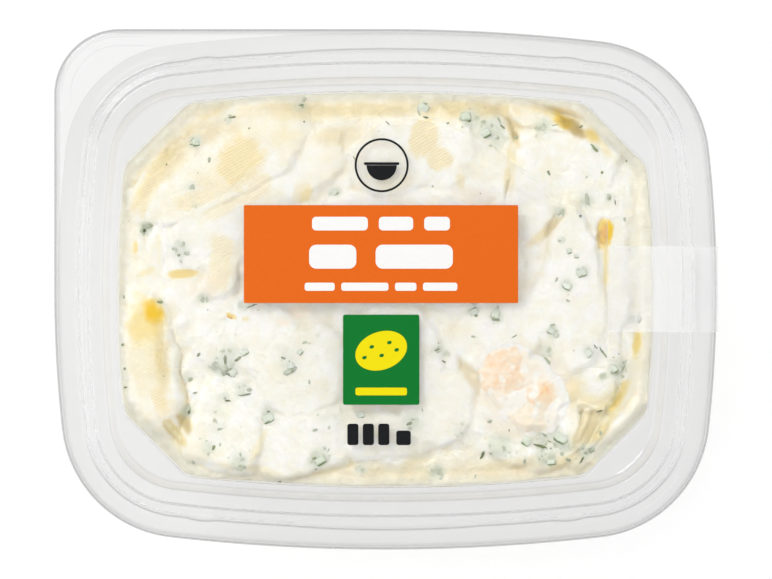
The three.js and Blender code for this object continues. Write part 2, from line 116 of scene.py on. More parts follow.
SHORT_CENTRE = LENGTH / 2 - SHORT_BOW
LONG_CENTRE = WIDTH / 2 - LONG_BOW
SHORT_STEPS = 16
CORNER_STEPS = 51
LONG_STEPS = 45


def sides_meet(inset):
    x, y = LENGTH / 2 - inset, WIDTH / 2 - inset
    for _ in range(12):
        x = SHORT_CENTRE + math.sqrt((SHORT_BOW - inset) ** 2 - y * y)
        y = LONG_CENTRE + math.sqrt((LONG_BOW - inset) ** 2 - x * x)
    return x, y


CENTRE = sides_meet(CORNER)
# The angles at which the round corner meets the short and the long side
CORNER_START = math.atan2(CENTRE[1], CENTRE[0] - SHORT_CENTRE)
CORNER_END = math.atan2(CENTRE[1] - LONG_CENTRE, CENTRE[0])


def bezier(a, b, c, steps):
    t = np.linspace(0, 1, steps + 1)[:, None]
    return (1 - t) ** 2 * a + 2 * t * (1 - t) * b + t * t * c


def arc(cx, cy, radius, start, end, steps):
    a = np.linspace(start, end, steps + 1)
    return np.stack([cx + radius * np.cos(a), cy + radius * np.sin(a)], 1)


def bowed_quarter(inset, start, corner, end):
    """From the middle of the short side, round a corner between two of its angles, to the long side's."""
    short = arc(SHORT_CENTRE, 0, SHORT_BOW - inset, 0, start, SHORT_STEPS)[:-1]
    long = arc(0, LONG_CENTRE, LONG_BOW - inset, end, math.pi / 2, LONG_STEPS)[1:]
    return np.concatenate([short, corner, long])


def round_quarter(inset):
    """A quarter of the plain outline."""
    corner = arc(*CENTRE, CORNER - inset, CORNER_START, CORNER_END, CORNER_STEPS)
    return bowed_quarter(inset, CORNER_START, corner, CORNER_END)


def cut_quarter(inset, soft=1.7):
    """The same for the well, whose corners are cut straight and a little softened."""
    x, y = sides_meet(inset)
    leg = WELL_CHAMFER - (2 - math.sqrt(2)) * (inset - WELL_TOP)
    short_radius, long_radius = SHORT_BOW - inset, LONG_BOW - inset
    start = math.asin((y - leg) / short_radius)
    end = math.pi / 2 - math.asin((x - leg) / long_radius)
    soft_start, soft_end = start - soft / short_radius, end + soft / long_radius
    soft_first, first = arc(SHORT_CENTRE, 0, short_radius, soft_start, start, 1)
    last, soft_last = arc(0, LONG_CENTRE, long_radius, end, soft_end, 1)
    along = (last - first) / np.linalg.norm(last - first) * soft
    bend = CORNER_STEPS // 3
    corner = [
        bezier(soft_first, first, first + along, bend),
        bezier(first + along, (first + last) / 2, last - along, bend)[1:-1],
        bezier(last - along, last, soft_last, bend),
    ]
    return bowed_quarter(inset, soft_start, np.concatenate(corner), soft_end)


def tab_quarter(inset):
    """The same for the tab, between straight sides."""
    cx, cy = LENGTH / 2 - TAB_CORNER, WIDTH / 2 - TAB_CORNER
    y = np.linspace(0, cy, SHORT_STEPS + 1)[:-1]
    short = np.stack([np.full_like(y, LENGTH / 2 - inset), y], 1)
    corner = arc(cx, cy, TAB_CORNER - inset, 0, math.pi / 2, CORNER_STEPS)
    x = np.linspace(cx, 0, LONG_STEPS + 1)[1:]
    long = np.stack([x, np.full_like(x, WIDTH / 2 - inset)], 1)
    return np.concatenate([short, corner, long])


def bulge(x, at, half):
    return np.clip(1 - ((x - at) / half) ** 2, 0, None)


def ring(inset, z, cut=0.0, lug=0.0, tab=0.0, lift=0.0):
    """A closed ring of points, anticlockwise from +X. cut, lug and tab are shares of those forms."""
    plain = round_quarter(inset)
    if cut:
        plain = plain * (1 - cut) + cut_quarter(inset) * cut
    corner = plain * (1 - tab) + tab_quarter(inset) * tab if tab else plain
    quarters = [plain, corner[::-1] * [-1, 1], plain * [-1, -1], plain[::-1] * [1, -1]]
    xy = np.concatenate([q[:-1] for q in quarters])
    x, y = xy[:, 0], xy[:, 1]
    if lug:
        size = bulge(x, 0, MIDDLE_LUG) ** 0.7 + bulge(np.abs(x), SIDE_LUG_AT, SIDE_LUG)
        on_long_side = np.abs(y) > WIDTH / 2 - CORNER / 2
        y = y + np.sign(y) * np.where(on_long_side, size, 0) * LUG_DEPTH * lug
    z = np.full_like(x, z)
    if lift:
        near = np.hypot(x + LENGTH / 2 - TAB_LINES_AT[0], y - WIDTH / 2 + TAB_LINES_AT[1])
        z = z + lift * np.clip((TAB_LINES_REACH - near) / TAB_LINES_FADE, 0, 1)
    return np.stack([x, y, z], 1)


# A flat of a profile longer than this keeps a row of its own beside each turn, at a margin
LONG_FLAT = 1.4
FLAT_MARGIN = 0.06


def padded(points):
    """A profile's rows, with zeros for what they leave out of a ring's arguments."""
    return np.array([tuple(p) + (0.0,) * (6 - len(p)) for p in points])


def rounded(points, radius, steps=3):
    """A profile with each turn made a small arc."""
    pts = padded(points)
    out = [pts[0]]
    for before, here, after in zip(pts, pts[1:], pts[2:]):
        back, ahead = before - here, after - here
        back_size, ahead_size = np.linalg.norm(back[:2]), np.linalg.norm(ahead[:2])
        reach = min(radius, 0.45 * back_size, 0.45 * ahead_size)
        first = here + back * (reach / back_size)
        last = here + ahead * (reach / ahead_size)
        if back_size > LONG_FLAT:
            out.append(first + back * (FLAT_MARGIN / back_size))
        out.extend(bezier(first, here, last, steps))
        if ahead_size > LONG_FLAT:
            out.append(last + ahead * (FLAT_MARGIN / ahead_size))
    out.append(pts[-1])
    return out


def underside(points, thickness):
    """The other side of a sheet: the profile offset by its thickness, from its outer edge back inwards."""
    pts = padded(points)
    step = np.diff(pts[:, :2], axis=0)
    step /= np.linalg.norm(step, axis=1)[:, None]
    normal = np.stack([-step[:, 1], step[:, 0]], 1)
    before, after = np.vstack([normal[:1], normal]), np.vstack([normal, normal[-1:]])
    middle = before + after
    middle /= np.linalg.norm(middle, axis=1)[:, None]
    reach = thickness / np.clip((middle * after).sum(1), 0.55, None)
    out = pts.copy()
    out[:, :2] += middle * reach[:, None]
    return [tuple(row) for row in out[::-1]]


def shade(piece, smooth):
    piece.data.polygons.foreach_set("use_smooth", [smooth] * len(piece.data.polygons))


def make_mesh(name, vertices, faces):
    """A smooth mesh object from millimetres."""
    mesh = bpy.data.meshes.new(name)
    mesh.from_pydata((np.asarray(vertices, float) * MM).tolist(), [], faces)
    mesh.validate()
    piece = bpy.data.objects.new(name, mesh)
    shade(piece, True)
    mesh.update()
    bpy.context.scene.collection.objects.link(piece)
    return piece


def strip(first, second, count):
    """Quads between two closed rings of points, from the number of each ring's first point."""
    return [(first + i, second + i, second + (i + 1) % count, first + (i + 1) % count) for i in range(count)]


def loft(name, rings):
    """A closed skin through rings, from the middle of the upper side to the middle of the underside."""
    count = len(rings[0])
    starts = range(0, len(rings) * count, count)
    faces = [quad for first, second in zip(starts, starts[1:]) for quad in strip(first, second, count)]
    faces.append(tuple(range(count)))
    faces.append(tuple(range(len(rings) * count - 1, starts[-1] - 1, -1)))
    return make_mesh(name, np.concatenate(rings), faces)


# Noise, the same every run


class Noise:
    """Smooth noise from -1 to 1 on a lattice of random slopes."""

    def __init__(self, seed):
        draw = np.random.default_rng(seed)
        self.order = np.tile(draw.permutation(256), 3)
        angle = draw.uniform(0, 2 * math.pi, 256)
        height = draw.uniform(-1, 1, 256)
        flat = np.sqrt(1 - height**2)
        self.slopes = np.stack([flat * np.cos(angle), flat * np.sin(angle), height], 1)

    def __call__(self, x, y, z=0.0):
        x, y, z = np.broadcast_arrays(np.asarray(x, float), y, z)
        cell = [np.floor(c).astype(int) for c in (x, y, z)]
        part = [c - f for c, f in zip((x, y, z), cell)]
        fade = [p**3 * (p * (p * 6 - 15) + 10) for p in part]
        total = np.zeros_like(x)
        for corner in range(8):
            step = [(corner >> k) & 1 for k in range(3)]
            key = self.order[(cell[0] + step[0]) % 256] + (cell[1] + step[1]) % 256
            key = self.order[key] + (cell[2] + step[2]) % 256
            slope = self.slopes[self.order[key] % 256]
            dot = sum((part[k] - step[k]) * slope[..., k] for k in range(3))
            weight = np.ones_like(x)
            for k in range(3):
                weight = weight * (fade[k] if step[k] else 1 - fade[k])
            total += dot * weight
        return total * 1.6


def smoothstep(low_edge, high_edge, value):
    t = np.clip((value - low_edge) / (high_edge - low_edge), 0, 1)
    return t * t * (3 - 2 * t)


# Materials


def srgb(text):
    """A colour from its sRGB hex digits, made linear."""
    parts = [int(text[i : i + 2], 16) / 255 for i in (0, 2, 4)]
    return tuple(p / 12.92 if p <= 0.04045 else ((p + 0.055) / 1.055) ** 2.4 for p in parts) + (1.0,)


def add(tree, kind, inputs=None, **settings):
    """Adds a node with its settings. An input takes a value, a socket, or a node for its first output."""
    made = tree.nodes.new(kind)
    for key, value in settings.items():
        setattr(made, key, value)
    for key, value in (inputs or {}).items():
        if isinstance(value, bpy.types.Node):
            value = next(socket for socket in value.outputs if socket.enabled)
        if isinstance(value, bpy.types.NodeSocket):
            tree.links.new(value, made.inputs[key])
        else:
            made.inputs[key].default_value = value
    return made


def new_material(name):
    material = bpy.data.materials.new(name)
    material.use_nodes = True
    material.node_tree.nodes.clear()
    return material, material.node_tree


def lay(tree, under, over, amount, band=(), growth="SMOOTHSTEP"):
    """Lays a colour over another by an amount. A band says from where to where it grows, and how far."""
    under, over = (srgb(colour) if isinstance(colour, str) else colour for colour in (under, over))
    if band:
        ends = dict(zip(("From Min", "From Max", "To Max"), band))
        amount = add(tree, "ShaderNodeMapRange", {"Value": amount, **ends}, interpolation_type=growth)
    return add(tree, "ShaderNodeMix", {0: amount, 6: under, 7: over}, data_type="RGBA")


def finish_thin(tree, shader, passed, tint="FFFFFF"):
    """Lets a share of the light straight through, so that thin sheet and ink hardly shade the salad."""
    through = add(tree, "ShaderNodeBsdfTransparent", {"Color": srgb(tint)})
    both = add(tree, "ShaderNodeMixShader", {0: passed, 1: shader, 2: through})
    add(tree, "ShaderNodeOutputMaterial", {"Surface": both})


def finish_moist(tree, colour, bump, roughness, bend, glow, reach, tones):
    """A wet gloss over soft food that lets some light in: the light's share, its reach (mm) and its tones."""
    inputs = {"Base Color": colour, "Normal": bump, "Roughness": roughness, "IOR": bend}
    inputs |= {"Subsurface Weight": glow, "Subsurface Scale": reach * MM, "Subsurface Radius": tones}
    shader = add(tree, "ShaderNodeBsdfPrincipled", inputs)
    add(tree, "ShaderNodeOutputMaterial", {"Surface": shader})


def clear_plastic(name, haze, bend, gloss, tint, fold):
    """Thermoformed clear sheet: glossy, nearly colourless, its turns seen as thin bright lines and painted
    grey lines.
    Thin sheet hardly bends what is seen through it, so the body's IOR is low and a coat gives the gloss.
    Where it folds down at the rim, on its steep walls and at its turns, its colour is painted greyer: painted
    shade for the dark lines that light makes there, and partly more of the sheet lying in line."""
    material, tree = new_material(name)
    # Painted shade: grey laid over the sheet's tint on its walls, turns and downturned edge
    folded = add(tree, "ShaderNodeAttribute", attribute_name="fold").outputs["Fac"]
    inputs = {"Base Color": lay(tree, tint, fold, folded), "Roughness": haze, "IOR": bend}
    inputs |= {"Transmission Weight": 1.0, "Coat Weight": gloss, "Coat IOR": 1.45, "Coat Roughness": 0.04}
    shader = add(tree, "ShaderNodeBsdfPrincipled", inputs)
    finish_thin(tree, shader, add(tree, "ShaderNodeLightPath").outputs["Is Shadow Ray"], "FDFDFD")
    return material


def hazy_film():
    """Matt clear adhesive film: a faint veil over all that it covers, with fine lines where it ends. It is
    whiter from the side of the lid on, where it runs down free as the seal."""
    material, tree = new_material("hazy_adhesive_film")
    coords = add(tree, "ShaderNodeTexCoord").outputs["Object"]
    grain = add(tree, "ShaderNodeTexNoise", {"Vector": coords, "Scale": 700.0, "Detail": 3.0})
    bump = add(tree, "ShaderNodeBump", {"Height": grain, "Strength": 0.06, "Distance": 0.0001})
    along = add(tree, "ShaderNodeSeparateXYZ", {"Vector": coords}).outputs["X"]
    ends = {"From Min": SEAL_START * MM, "From Max": (SEAL_START + 0.3) * MM, "To Min": 0.08, "To Max": 0.24}
    veil = add(tree, "ShaderNodeMapRange", {"Value": along, **ends})
    inputs = {"Base Color": srgb("FFFFFF"), "Roughness": 0.38, "Specular IOR Level": 0.3}
    shader = add(tree, "ShaderNodeBsdfPrincipled", {**inputs, "Alpha": veil, "Normal": bump})
    finish_thin(tree, shader, add(tree, "ShaderNodeLightPath").outputs["Is Shadow Ray"])
    return material


def screen_ink(name, hex_colour):
    """Satin ink on film: an even field with the slight mottle of a screen print. It hides what is under it,
    but half of the light that falls on it goes through to the salad."""
    material, tree = new_material(name)
    coords = add(tree, "ShaderNodeTexCoord").outputs["Object"]
    grain = add(tree, "ShaderNodeTexNoise", {"Vector": coords, "Scale": 1500.0, "Detail": 2.0})
    mottle = add(tree, "ShaderNodeMapRange", {"Value": grain, "To Min": 0.96, "To Max": 1.04})
    tone = add(tree, "ShaderNodeHueSaturation", {"Color": srgb(hex_colour), "Value": mottle})
    bump = add(tree, "ShaderNodeBump", {"Height": grain, "Strength": 0.08, "Distance": 0.00005})
    inputs = {"Base Color": tone, "Roughness": 0.42, "Specular IOR Level": 0.15, "Normal": bump}
    shader = add(tree, "ShaderNodeBsdfPrincipled", inputs)
    path = add(tree, "ShaderNodeLightPath").outputs
    kinds = {0: path["Is Shadow Ray"], 1: path["Is Diffuse Ray"]}
    lit = add(tree, "ShaderNodeMath", kinds, operation="MAXIMUM")
    finish_thin(tree, shader, add(tree, "ShaderNodeMath", {0: lit, 1: 0.5}, operation="MULTIPLY"))
    return material


def pushed_about(tree, coords, scale, size):
    """Coordinates moved to and fro by a noise, by its scale and the size of the moves in metres."""
    noise = add(tree, "ShaderNodeTexNoise", {"Vector": coords, "Scale": scale, "Detail": 2.0})
    moves = add(tree, "ShaderNodeVectorMath", {0: noise.outputs["Color"], "Scale": size}, operation="SCALE")
    return add(tree, "ShaderNodeVectorMath", {0: moves, 1: coords}, operation="ADD")


def dressed_potato():
    """Yoghurt and mayonnaise dressing over boiled potato: cream white in soft patches, moist, and light
    goes some way into it. Attributes on the mesh say where it is thin over potato, yolk or egg, where
    pooled sauce and painted shade make it yellower or darker in its hollows and gaps, where it is greyer
    along the wall, and where herbs lie under it."""
    material, tree = new_material("creamy_dressing")
    coords = add(tree, "ShaderNodeTexCoord").outputs["Object"]
    shown = {
        name: add(tree, "ShaderNodeAttribute", attribute_name=name).outputs["Fac"]
        for name in ("wall", "pocket", "potato", "yolk", "peach", "smear", "brown", "herb_density")
    }

    # Patches of thinner and thicker dressing, 3 to 15 mm across
    crisp = {"Vector": coords, "Roughness": 0.6}
    small = add(tree, "ShaderNodeTexNoise", {**crisp, "Scale": 260.0, "Detail": 5.0})
    bent = {"Vector": coords, "Distortion": 0.6}
    wide = add(tree, "ShaderNodeTexNoise", {**bent, "Scale": 85.0, "Detail": 3.0})
    far = {"Vector": coords, "W": 7.3, "Scale": 120.0, "Detail": 3.0}
    warm = add(tree, "ShaderNodeTexNoise", far, noise_dimensions="4D")
    colour = lay(tree, "FCFAF3", "F8F3E3", small, (0.36, 0.66))
    colour = lay(tree, colour, "F2EBCD", wide, (0.52, 0.68, 0.5))
    colour = lay(tree, colour, "F8E8D4", warm, (0.58, 0.72, 0.25))

    # Against the wall, slices of potato lie in the dressing like stones in a wall
    flat = {"Rotation": (0.3, 0.5, 0.2), "Scale": (1.0, 1.0, 2.1)}
    laid = add(tree, "ShaderNodeMapping", {"Vector": pushed_about(tree, coords, 120.0, 0.006), **flat})
    slices = {"Vector": laid, "Scale": 48.0}
    cells = add(tree, "ShaderNodeTexVoronoi", slices, feature="F1").outputs["Color"]
    gaps = add(tree, "ShaderNodeTexVoronoi", slices, feature="DISTANCE_TO_EDGE")
    pick = add(tree, "ShaderNodeSeparateColor", {"Color": cells})
    face = shown["wall"]
    for value, start, end, top in ((gaps, 0.04, 0.22, 1.0), (pick, 0.35, 1.0, 0.9)):
        ends = {"Value": value, "From Min": start, "From Max": end, "To Max": top}
        share = add(tree, "ShaderNodeMapRange", ends, interpolation_type="SMOOTHSTEP")
        face = add(tree, "ShaderNodeMath", {0: face, 1: share}, operation="MULTIPLY")
    colour = lay(tree, colour, "F3E6B8", face)
    # Painted shade: pale olive-yellow in crevices, hollows and low ground, partly pooled sauce
    colour = lay(tree, colour, "F1E3B6", shown["pocket"])
    # A greyer band of the dressing along the well's wall
    colour = lay(tree, colour, "E3E0CE", shown["smear"], (0.0, 1.0, 0.9))

    # The cut face of a potato keeps the ridges of the blade, 0.7 mm apart
    aslant = add(tree, "ShaderNodeMapping", {"Vector": coords, "Rotation": (0, 0, -0.5)})
    waves = {"Vector": aslant, "Scale": 470.0, "Distortion": 5.0, "Detail": 1.0, "Detail Scale": 0.3}
    blade = add(tree, "ShaderNodeTexWave", waves, bands_direction="Y").outputs["Fac"]
    ridges = add(tree, "ShaderNodeMath", {0: blade, 1: shown["potato"]}, operation="MULTIPLY")
    flesh = lay(tree, "F6E7B9", "F0DB9C", blade, (0.2, 0.8))
    for over, name, *band in (
        (flesh, "potato"),
        ("FDE2C2", "peach"),
        ("F8E9AC", "yolk", (0.0, 0.6)),
        ("F3C808", "yolk", (0.05, 1.1)),
        # Painted deep shade in gaps, partly dark olive sauce
        ("A98C3C", "brown"),
    ):
        colour = lay(tree, colour, over, shown[name], *band)

    # Herbs under the dressing: a grey-green cloud, and in it smudges of 0.5 to 2 mm
    cloud = add(tree, "ShaderNodeMath", {0: shown["herb_density"], 1: small}, operation="MULTIPLY")
    colour = lay(tree, colour, "D9DDCC", cloud, (0.03, 0.45, 0.85))
    placed = pushed_about(tree, coords, 700.0, 0.0016)
    for scale, light, dark in ((330.0, "CDD4BE", "A5AE8C"), (640.0, "B9C1A0", "868F68")):
        spots = add(tree, "ShaderNodeTexVoronoi", {"Vector": placed, "Scale": scale})
        chance = add(tree, "ShaderNodeSeparateColor", {"Color": spots.outputs["Color"]})
        inside = shown["herb_density"]
        for operation, value in (("SUBTRACT", chance), ("MINIMUM", 0.42), ("SUBTRACT", spots)):
            inside = add(tree, "ShaderNodeMath", {0: inside, 1: value}, operation=operation)
        stain = lay(tree, light, dark, chance.outputs["Green"])
        colour = lay(tree, colour, stain, inside, (-0.12, 0.25, 0.7))

    coarse = add(tree, "ShaderNodeTexNoise", {**crisp, "Scale": 420.0, "Detail": 4.0})
    fine = add(tree, "ShaderNodeTexNoise", {"Vector": coords, "Scale": 1300.0, "Detail": 3.0})
    relief = {}
    for height, strength, depth in ((coarse, 0.8, 0.0006), (fine, 0.5, 0.0002), (ridges, 0.5, 0.00012)):
        inputs = {"Height": height, "Strength": strength, "Distance": depth, **relief}
        relief = {"Normal": add(tree, "ShaderNodeBump", inputs)}
    finish_moist(tree, colour, relief["Normal"], 0.34, 1.42, 0.4, 1.6, (1.0, 0.85, 0.6))
    return material


def moist_food(name, pale, deep, roughness, scale=600.0):
    """Soft moist food: two tones in fine patches, a low wet gloss and some light through it."""
    material, tree = new_material(name)
    coords = add(tree, "ShaderNodeTexCoord").outputs["Object"]
    patches = add(tree, "ShaderNodeTexNoise", {"Vector": coords, "Scale": scale, "Detail": 4.0})
    colour = lay(tree, pale, deep, patches, (0.35, 0.65), "LINEAR")
    bump = add(tree, "ShaderNodeBump", {"Height": patches, "Strength": 0.5, "Distance": 0.0003})
    finish_moist(tree, colour, bump, roughness, 1.4, 0.2, 1.0, (1.0, 0.8, 0.4))
    return material


def boiled_egg():
    """Boiled egg crushed into dressing: white with pale peach yolk, crumbly and moist."""
    material, tree = new_material("boiled_egg")
    coords = add(tree, "ShaderNodeTexCoord").outputs["Object"]
    yolky = add(tree, "ShaderNodeAttribute", attribute_name="yolky").outputs["Fac"]
    film = add(tree, "ShaderNodeAttribute", attribute_name="film").outputs["Fac"]
    crumbs = {"Vector": coords, "Scale": 520.0, "Detail": 5.0, "Roughness": 0.65}
    grain = add(tree, "ShaderNodeTexNoise", crumbs)
    ragged = add(tree, "ShaderNodeMath", {0: grain, 1: yolky, 2: -0.22}, operation="MULTIPLY_ADD")
    colour = lay(tree, "FFF9EE", "FFE9CC", yolky)
    colour = lay(tree, colour, "FDCB94", ragged, (0.12, 0.46, 0.85), "LINEAR")
    colour = lay(tree, colour, "FDFAF3", film)
    bump = add(tree, "ShaderNodeBump", {"Height": grain, "Strength": 0.7, "Distance": 0.0004})
    finish_moist(tree, colour, bump, 0.35, 1.42, 0.3, 1.2, (1.0, 0.8, 0.55))
    return material


def cucumber_flesh():
    """Pickled cucumber: watery pale flesh, and green skin on one side of a die."""
    material, tree = new_material("pickled_cucumber")
    coords = add(tree, "ShaderNodeTexCoord").outputs["Object"]
    skin = add(tree, "ShaderNodeAttribute", attribute_name="skin").outputs["Fac"]
    grain = add(tree, "ShaderNodeTexNoise", {"Vector": coords, "Scale": 600.0, "Detail": 3.0})
    flesh = lay(tree, "E6EBDC", "C9D4BF", grain)
    green = lay(tree, "8FA468", "4C6636", grain)
    bump = add(tree, "ShaderNodeBump", {"Height": grain, "Strength": 0.4, "Distance": 0.0003})
    finish_moist(tree, lay(tree, flesh, green, skin), bump, 0.25, 1.36, 0.4, 1.5, (1.0, 1.0, 0.7))
    return material


# The last colour of each is the painted grey shade of the walls and turns
TUB_PLASTIC = clear_plastic("clear_thermoformed_tub", 0.12, 1.08, 0.25, "F4F4F4", "B8B8B8")
LID_PLASTIC = clear_plastic("clear_thermoformed_lid", 0.03, 1.12, 0.6, "F6F6F6", "A8A8A8")
FILM_COAT = hazy_film()
ORANGE_INK = screen_ink("orange_screen_ink", "EC6B14")
GREEN_INK = screen_ink("green_screen_ink", "007A2B")
YELLOW_INK = screen_ink("yellow_screen_ink", "F7E600")
WHITE_INK = screen_ink("white_screen_ink", "FDFCFA")
BLACK_INK = screen_ink("black_screen_ink", "16171A")
DRESSING = dressed_potato()
POTATO_FLESH = moist_food("boiled_potato_flesh", "F3E8BE", "E8D9A0", 0.36)
YOLK_CRUMB = moist_food("egg_yolk_crumb", "EFBE00", "DD9C00", 0.5, 900.0)
EGG = boiled_egg()
CUCUMBER = cucumber_flesh()
HERB_GREEN = moist_food("chopped_herb", "A2AB7E", "536236", 0.45, 500.0)
COATED_HERB = moist_food("dressing_coated_herb", "D5DBC4", "9FA985", 0.4, 420.0)


def settle(piece, material, slot, *replaced):
    """Gives a piece its material and body, and hides the CAD nodes that it stands for. Its slot is not used.
    """
    piece.data.materials.clear()
    piece.data.materials.append(material)
    if replaced:
        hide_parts(*replaced)
    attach(piece, "root")
    return piece


# Tub

TUB_INSIDE = [
    (BASE + 5, FLOOR + 0.8, 1), (BASE + 3.6, FLOOR, 1), (BASE - 0.6, FLOOR, 1),
    (WELL_FOOT + 0.9, FLOOR + 0.7, 1), (WELL_FOOT - 0.1, FLOOR + 3.2, 1), (WELL_TOP + 0.75, LEDGE - 2.4, 1),
    (WELL_TOP + 0.3, LEDGE - 0.55, 1), (WELL_TOP - 0.5, LEDGE, 1),
]


def make_tub():
    inside = TUB_INSIDE + [
        (SHELF_EDGE, LEDGE), (MOUTH + 0.8, RIM - 1.6), (MOUTH + 0.4, RIM - 0.5), (MOUTH, RIM),
    ]
    lip = [(7.6, RIM), (6.9, RIM - 0.3), (5.7, TUB_FLANGE + 0.6), (5, TUB_FLANGE), (0.9, TUB_FLANGE)]
    rows = rounded(inside + lip, 0.6) + rounded(underside(inside + lip, TUB_SHEET), 0.5)
    tub = loft("clear_tub", [ring(*row) for row in rows])
    mark_fold(tub, rows, TUB_WALLS, 0)
    return settle(tub, TUB_PLASTIC, "clear_tub", "tub")


# How grey each upright wall is painted from above, by its inset: painted shade for its dark lines
TUB_WALLS = ((0, 0.1), (5, 0.0), (14.2, 0.0), (16, 0.12))
LID_WALLS = ((0, 0.6), (3.9, 0.05), (7.2, 0.05), (7.6, 0.4), (8.8, 0.4), (11, 0.0), (14.5, 0.0))
# The sheet's sharp turns, by their inset: how wide (mm) and how grey each painted shade line is
LID_LINES = (
    (STEP_FOOT, 0.25, 0.6), (CROWN_FOOT, 0.2, 0.4), (CROWN_EDGE, 0.12, 0.35), (PLUG_FOOT, 0.12, 0.35),
)


def mark_fold(piece, rows, walls, edge, lines=()):
    """Says on each vertex how grey the sheet is painted, as painted shade for the dark lines that light makes
    on it: where the profile is steep, most on the long sides, on the tab's raised lines and, by the share
    edge, where the outline turns down. Part of it stands for more sheet lying in line from above."""
    x, y, z = vertex_places(piece).T
    plain = rim_distance(x, y)
    tab = np.minimum(LENGTH / 2 - np.abs(x), WIDTH / 2 - np.abs(y))
    beyond = [np.clip(part + TAB_CORNER, 0, None) for part in (-x - LENGTH / 2, y - WIDTH / 2)]
    in_tab = np.hypot(*beyond)
    tab = np.where((x < 0) & (y > 0), np.minimum(tab, TAB_CORNER - in_tab), -9)
    inset = np.maximum(plain, tab)
    profile = np.array([tuple(row)[:2] for row in rows])
    run = np.gradient(profile, axis=0)
    steep = smoothstep(0.6, 1.0, np.abs(run[:, 1]) / (np.hypot(run[:, 0], run[:, 1]) + 1e-9))
    steep = steep * np.interp(profile[:, 0], *zip(*walls))
    for at, half_width, grey in lines:
        steep = np.maximum(steep, grey * np.exp(-(((profile[:, 0] - at) / half_width) ** 2)))
    count = len(x) // len(rows)
    around = np.stack([x, y]).reshape(2, -1, count)
    steps = np.roll(around, -1, 2) - np.roll(around, 1, 2)
    long_side = np.abs(steps[0]) / (np.hypot(*steps) + 1e-9)
    # Painted shade: walls along the long sides are painted much greyer than those of the short sides, as the
    # light falls
    steep = (steep[:, None] * (0.12 + 0.88 * smoothstep(0.2, 0.8, long_side))).ravel()
    # Painted shade on the tab's raised lines and the tab, and on the downturned outer edge
    raised = 0.35 * smoothstep(0.1, 0.35, z - LID_FLANGE) * (inset < 4.4)
    raised = np.maximum(raised, 0.08 * edge * smoothstep(0.0, 2.0, tab - plain))
    folded_down = edge * np.clip((1.9 - inset) / 1.8, 0, 1) ** 1.1
    set_attribute(piece, "fold", np.maximum(np.maximum(steep, raised), folded_down))


# Lid


def make_lid():
    # Two raised lines follow the tab's corner; inside them the tab's form gives way to the plain ring
    tab_rows = [
        (inset, LID_FLANGE, 0, 0, 1, height)
        for inset, height in ((1.6, 0), (1.75, 0), (1.95, 0.4), (2.15, 0), (3.8, 0), (4.0, 0.4), (4.2, 0))
    ]
    tab_rows += [(4.2 + 0.25 * share, LID_FLANGE, 0, 0, 1 - share) for share in (0.2, 0.4, 0.6, 0.8)]
    above = [
        (PLUG_FOOT + 1, LID_PANEL), (PLUG_FOOT, LID_PANEL + 0.4), (CROWN_EDGE + 0.2, LID_CROWN - 0.4),
        (CROWN_EDGE - 0.2, LID_CROWN), (CROWN_FOOT + 0.7, LID_CROWN), (CROWN_FOOT + 0.2, LID_CROWN - 0.4),
        (CROWN_FOOT, LID_STEP + 0.3), (CROWN_FOOT - 0.3, LID_STEP), (STEP_FOOT + 1.8, LID_STEP),
        (STEP_FOOT + 0.9, LID_STEP - 0.5), (STEP_FOOT + 0.1, LID_FLANGE + 0.35, 0, 1),
        (STEP_FOOT - 0.3, LID_FLANGE, 0, 1),
    ]
    edge = [
        (1.4, LID_FLANGE, 0, 0, 1), (0.85, LID_FLANGE - 0.08, 0, 0, 1), (0.35, LID_FLANGE - 0.35, 0, 0, 1),
        (0.08, LID_FLANGE - 0.8, 0, 0, 1), (0, LID_FLANGE - 1.3, 0, 0, 1), (0, LID_FLANGE - 1.8, 0, 0, 1),
    ]
    rows = rounded(above + tab_rows[::-1] + edge, 0.4) + rounded(underside(above + edge, LID_SHEET), 0.4)
    lid = loft("clear_lid", [ring(*row) for row in rows])
    mark_fold(lid, rows, LID_WALLS, 0.75, LID_LINES)
    return settle(lid, LID_PLASTIC, "clear_lid", "lid")


# Salad

SALAD_TOP = LID_PANEL - 1.2
GRID = 0.42
# The slab that the salad is cut from: its sides' distance in from the outline, and its underside
SLAB_INSET = 10
SLAB_FOOT = -2
# How far the salad reaches into the tub's wall, and about how far apart the rings of its side are
INTO_WALL = 0.1
SIDE_STEP = 1.6

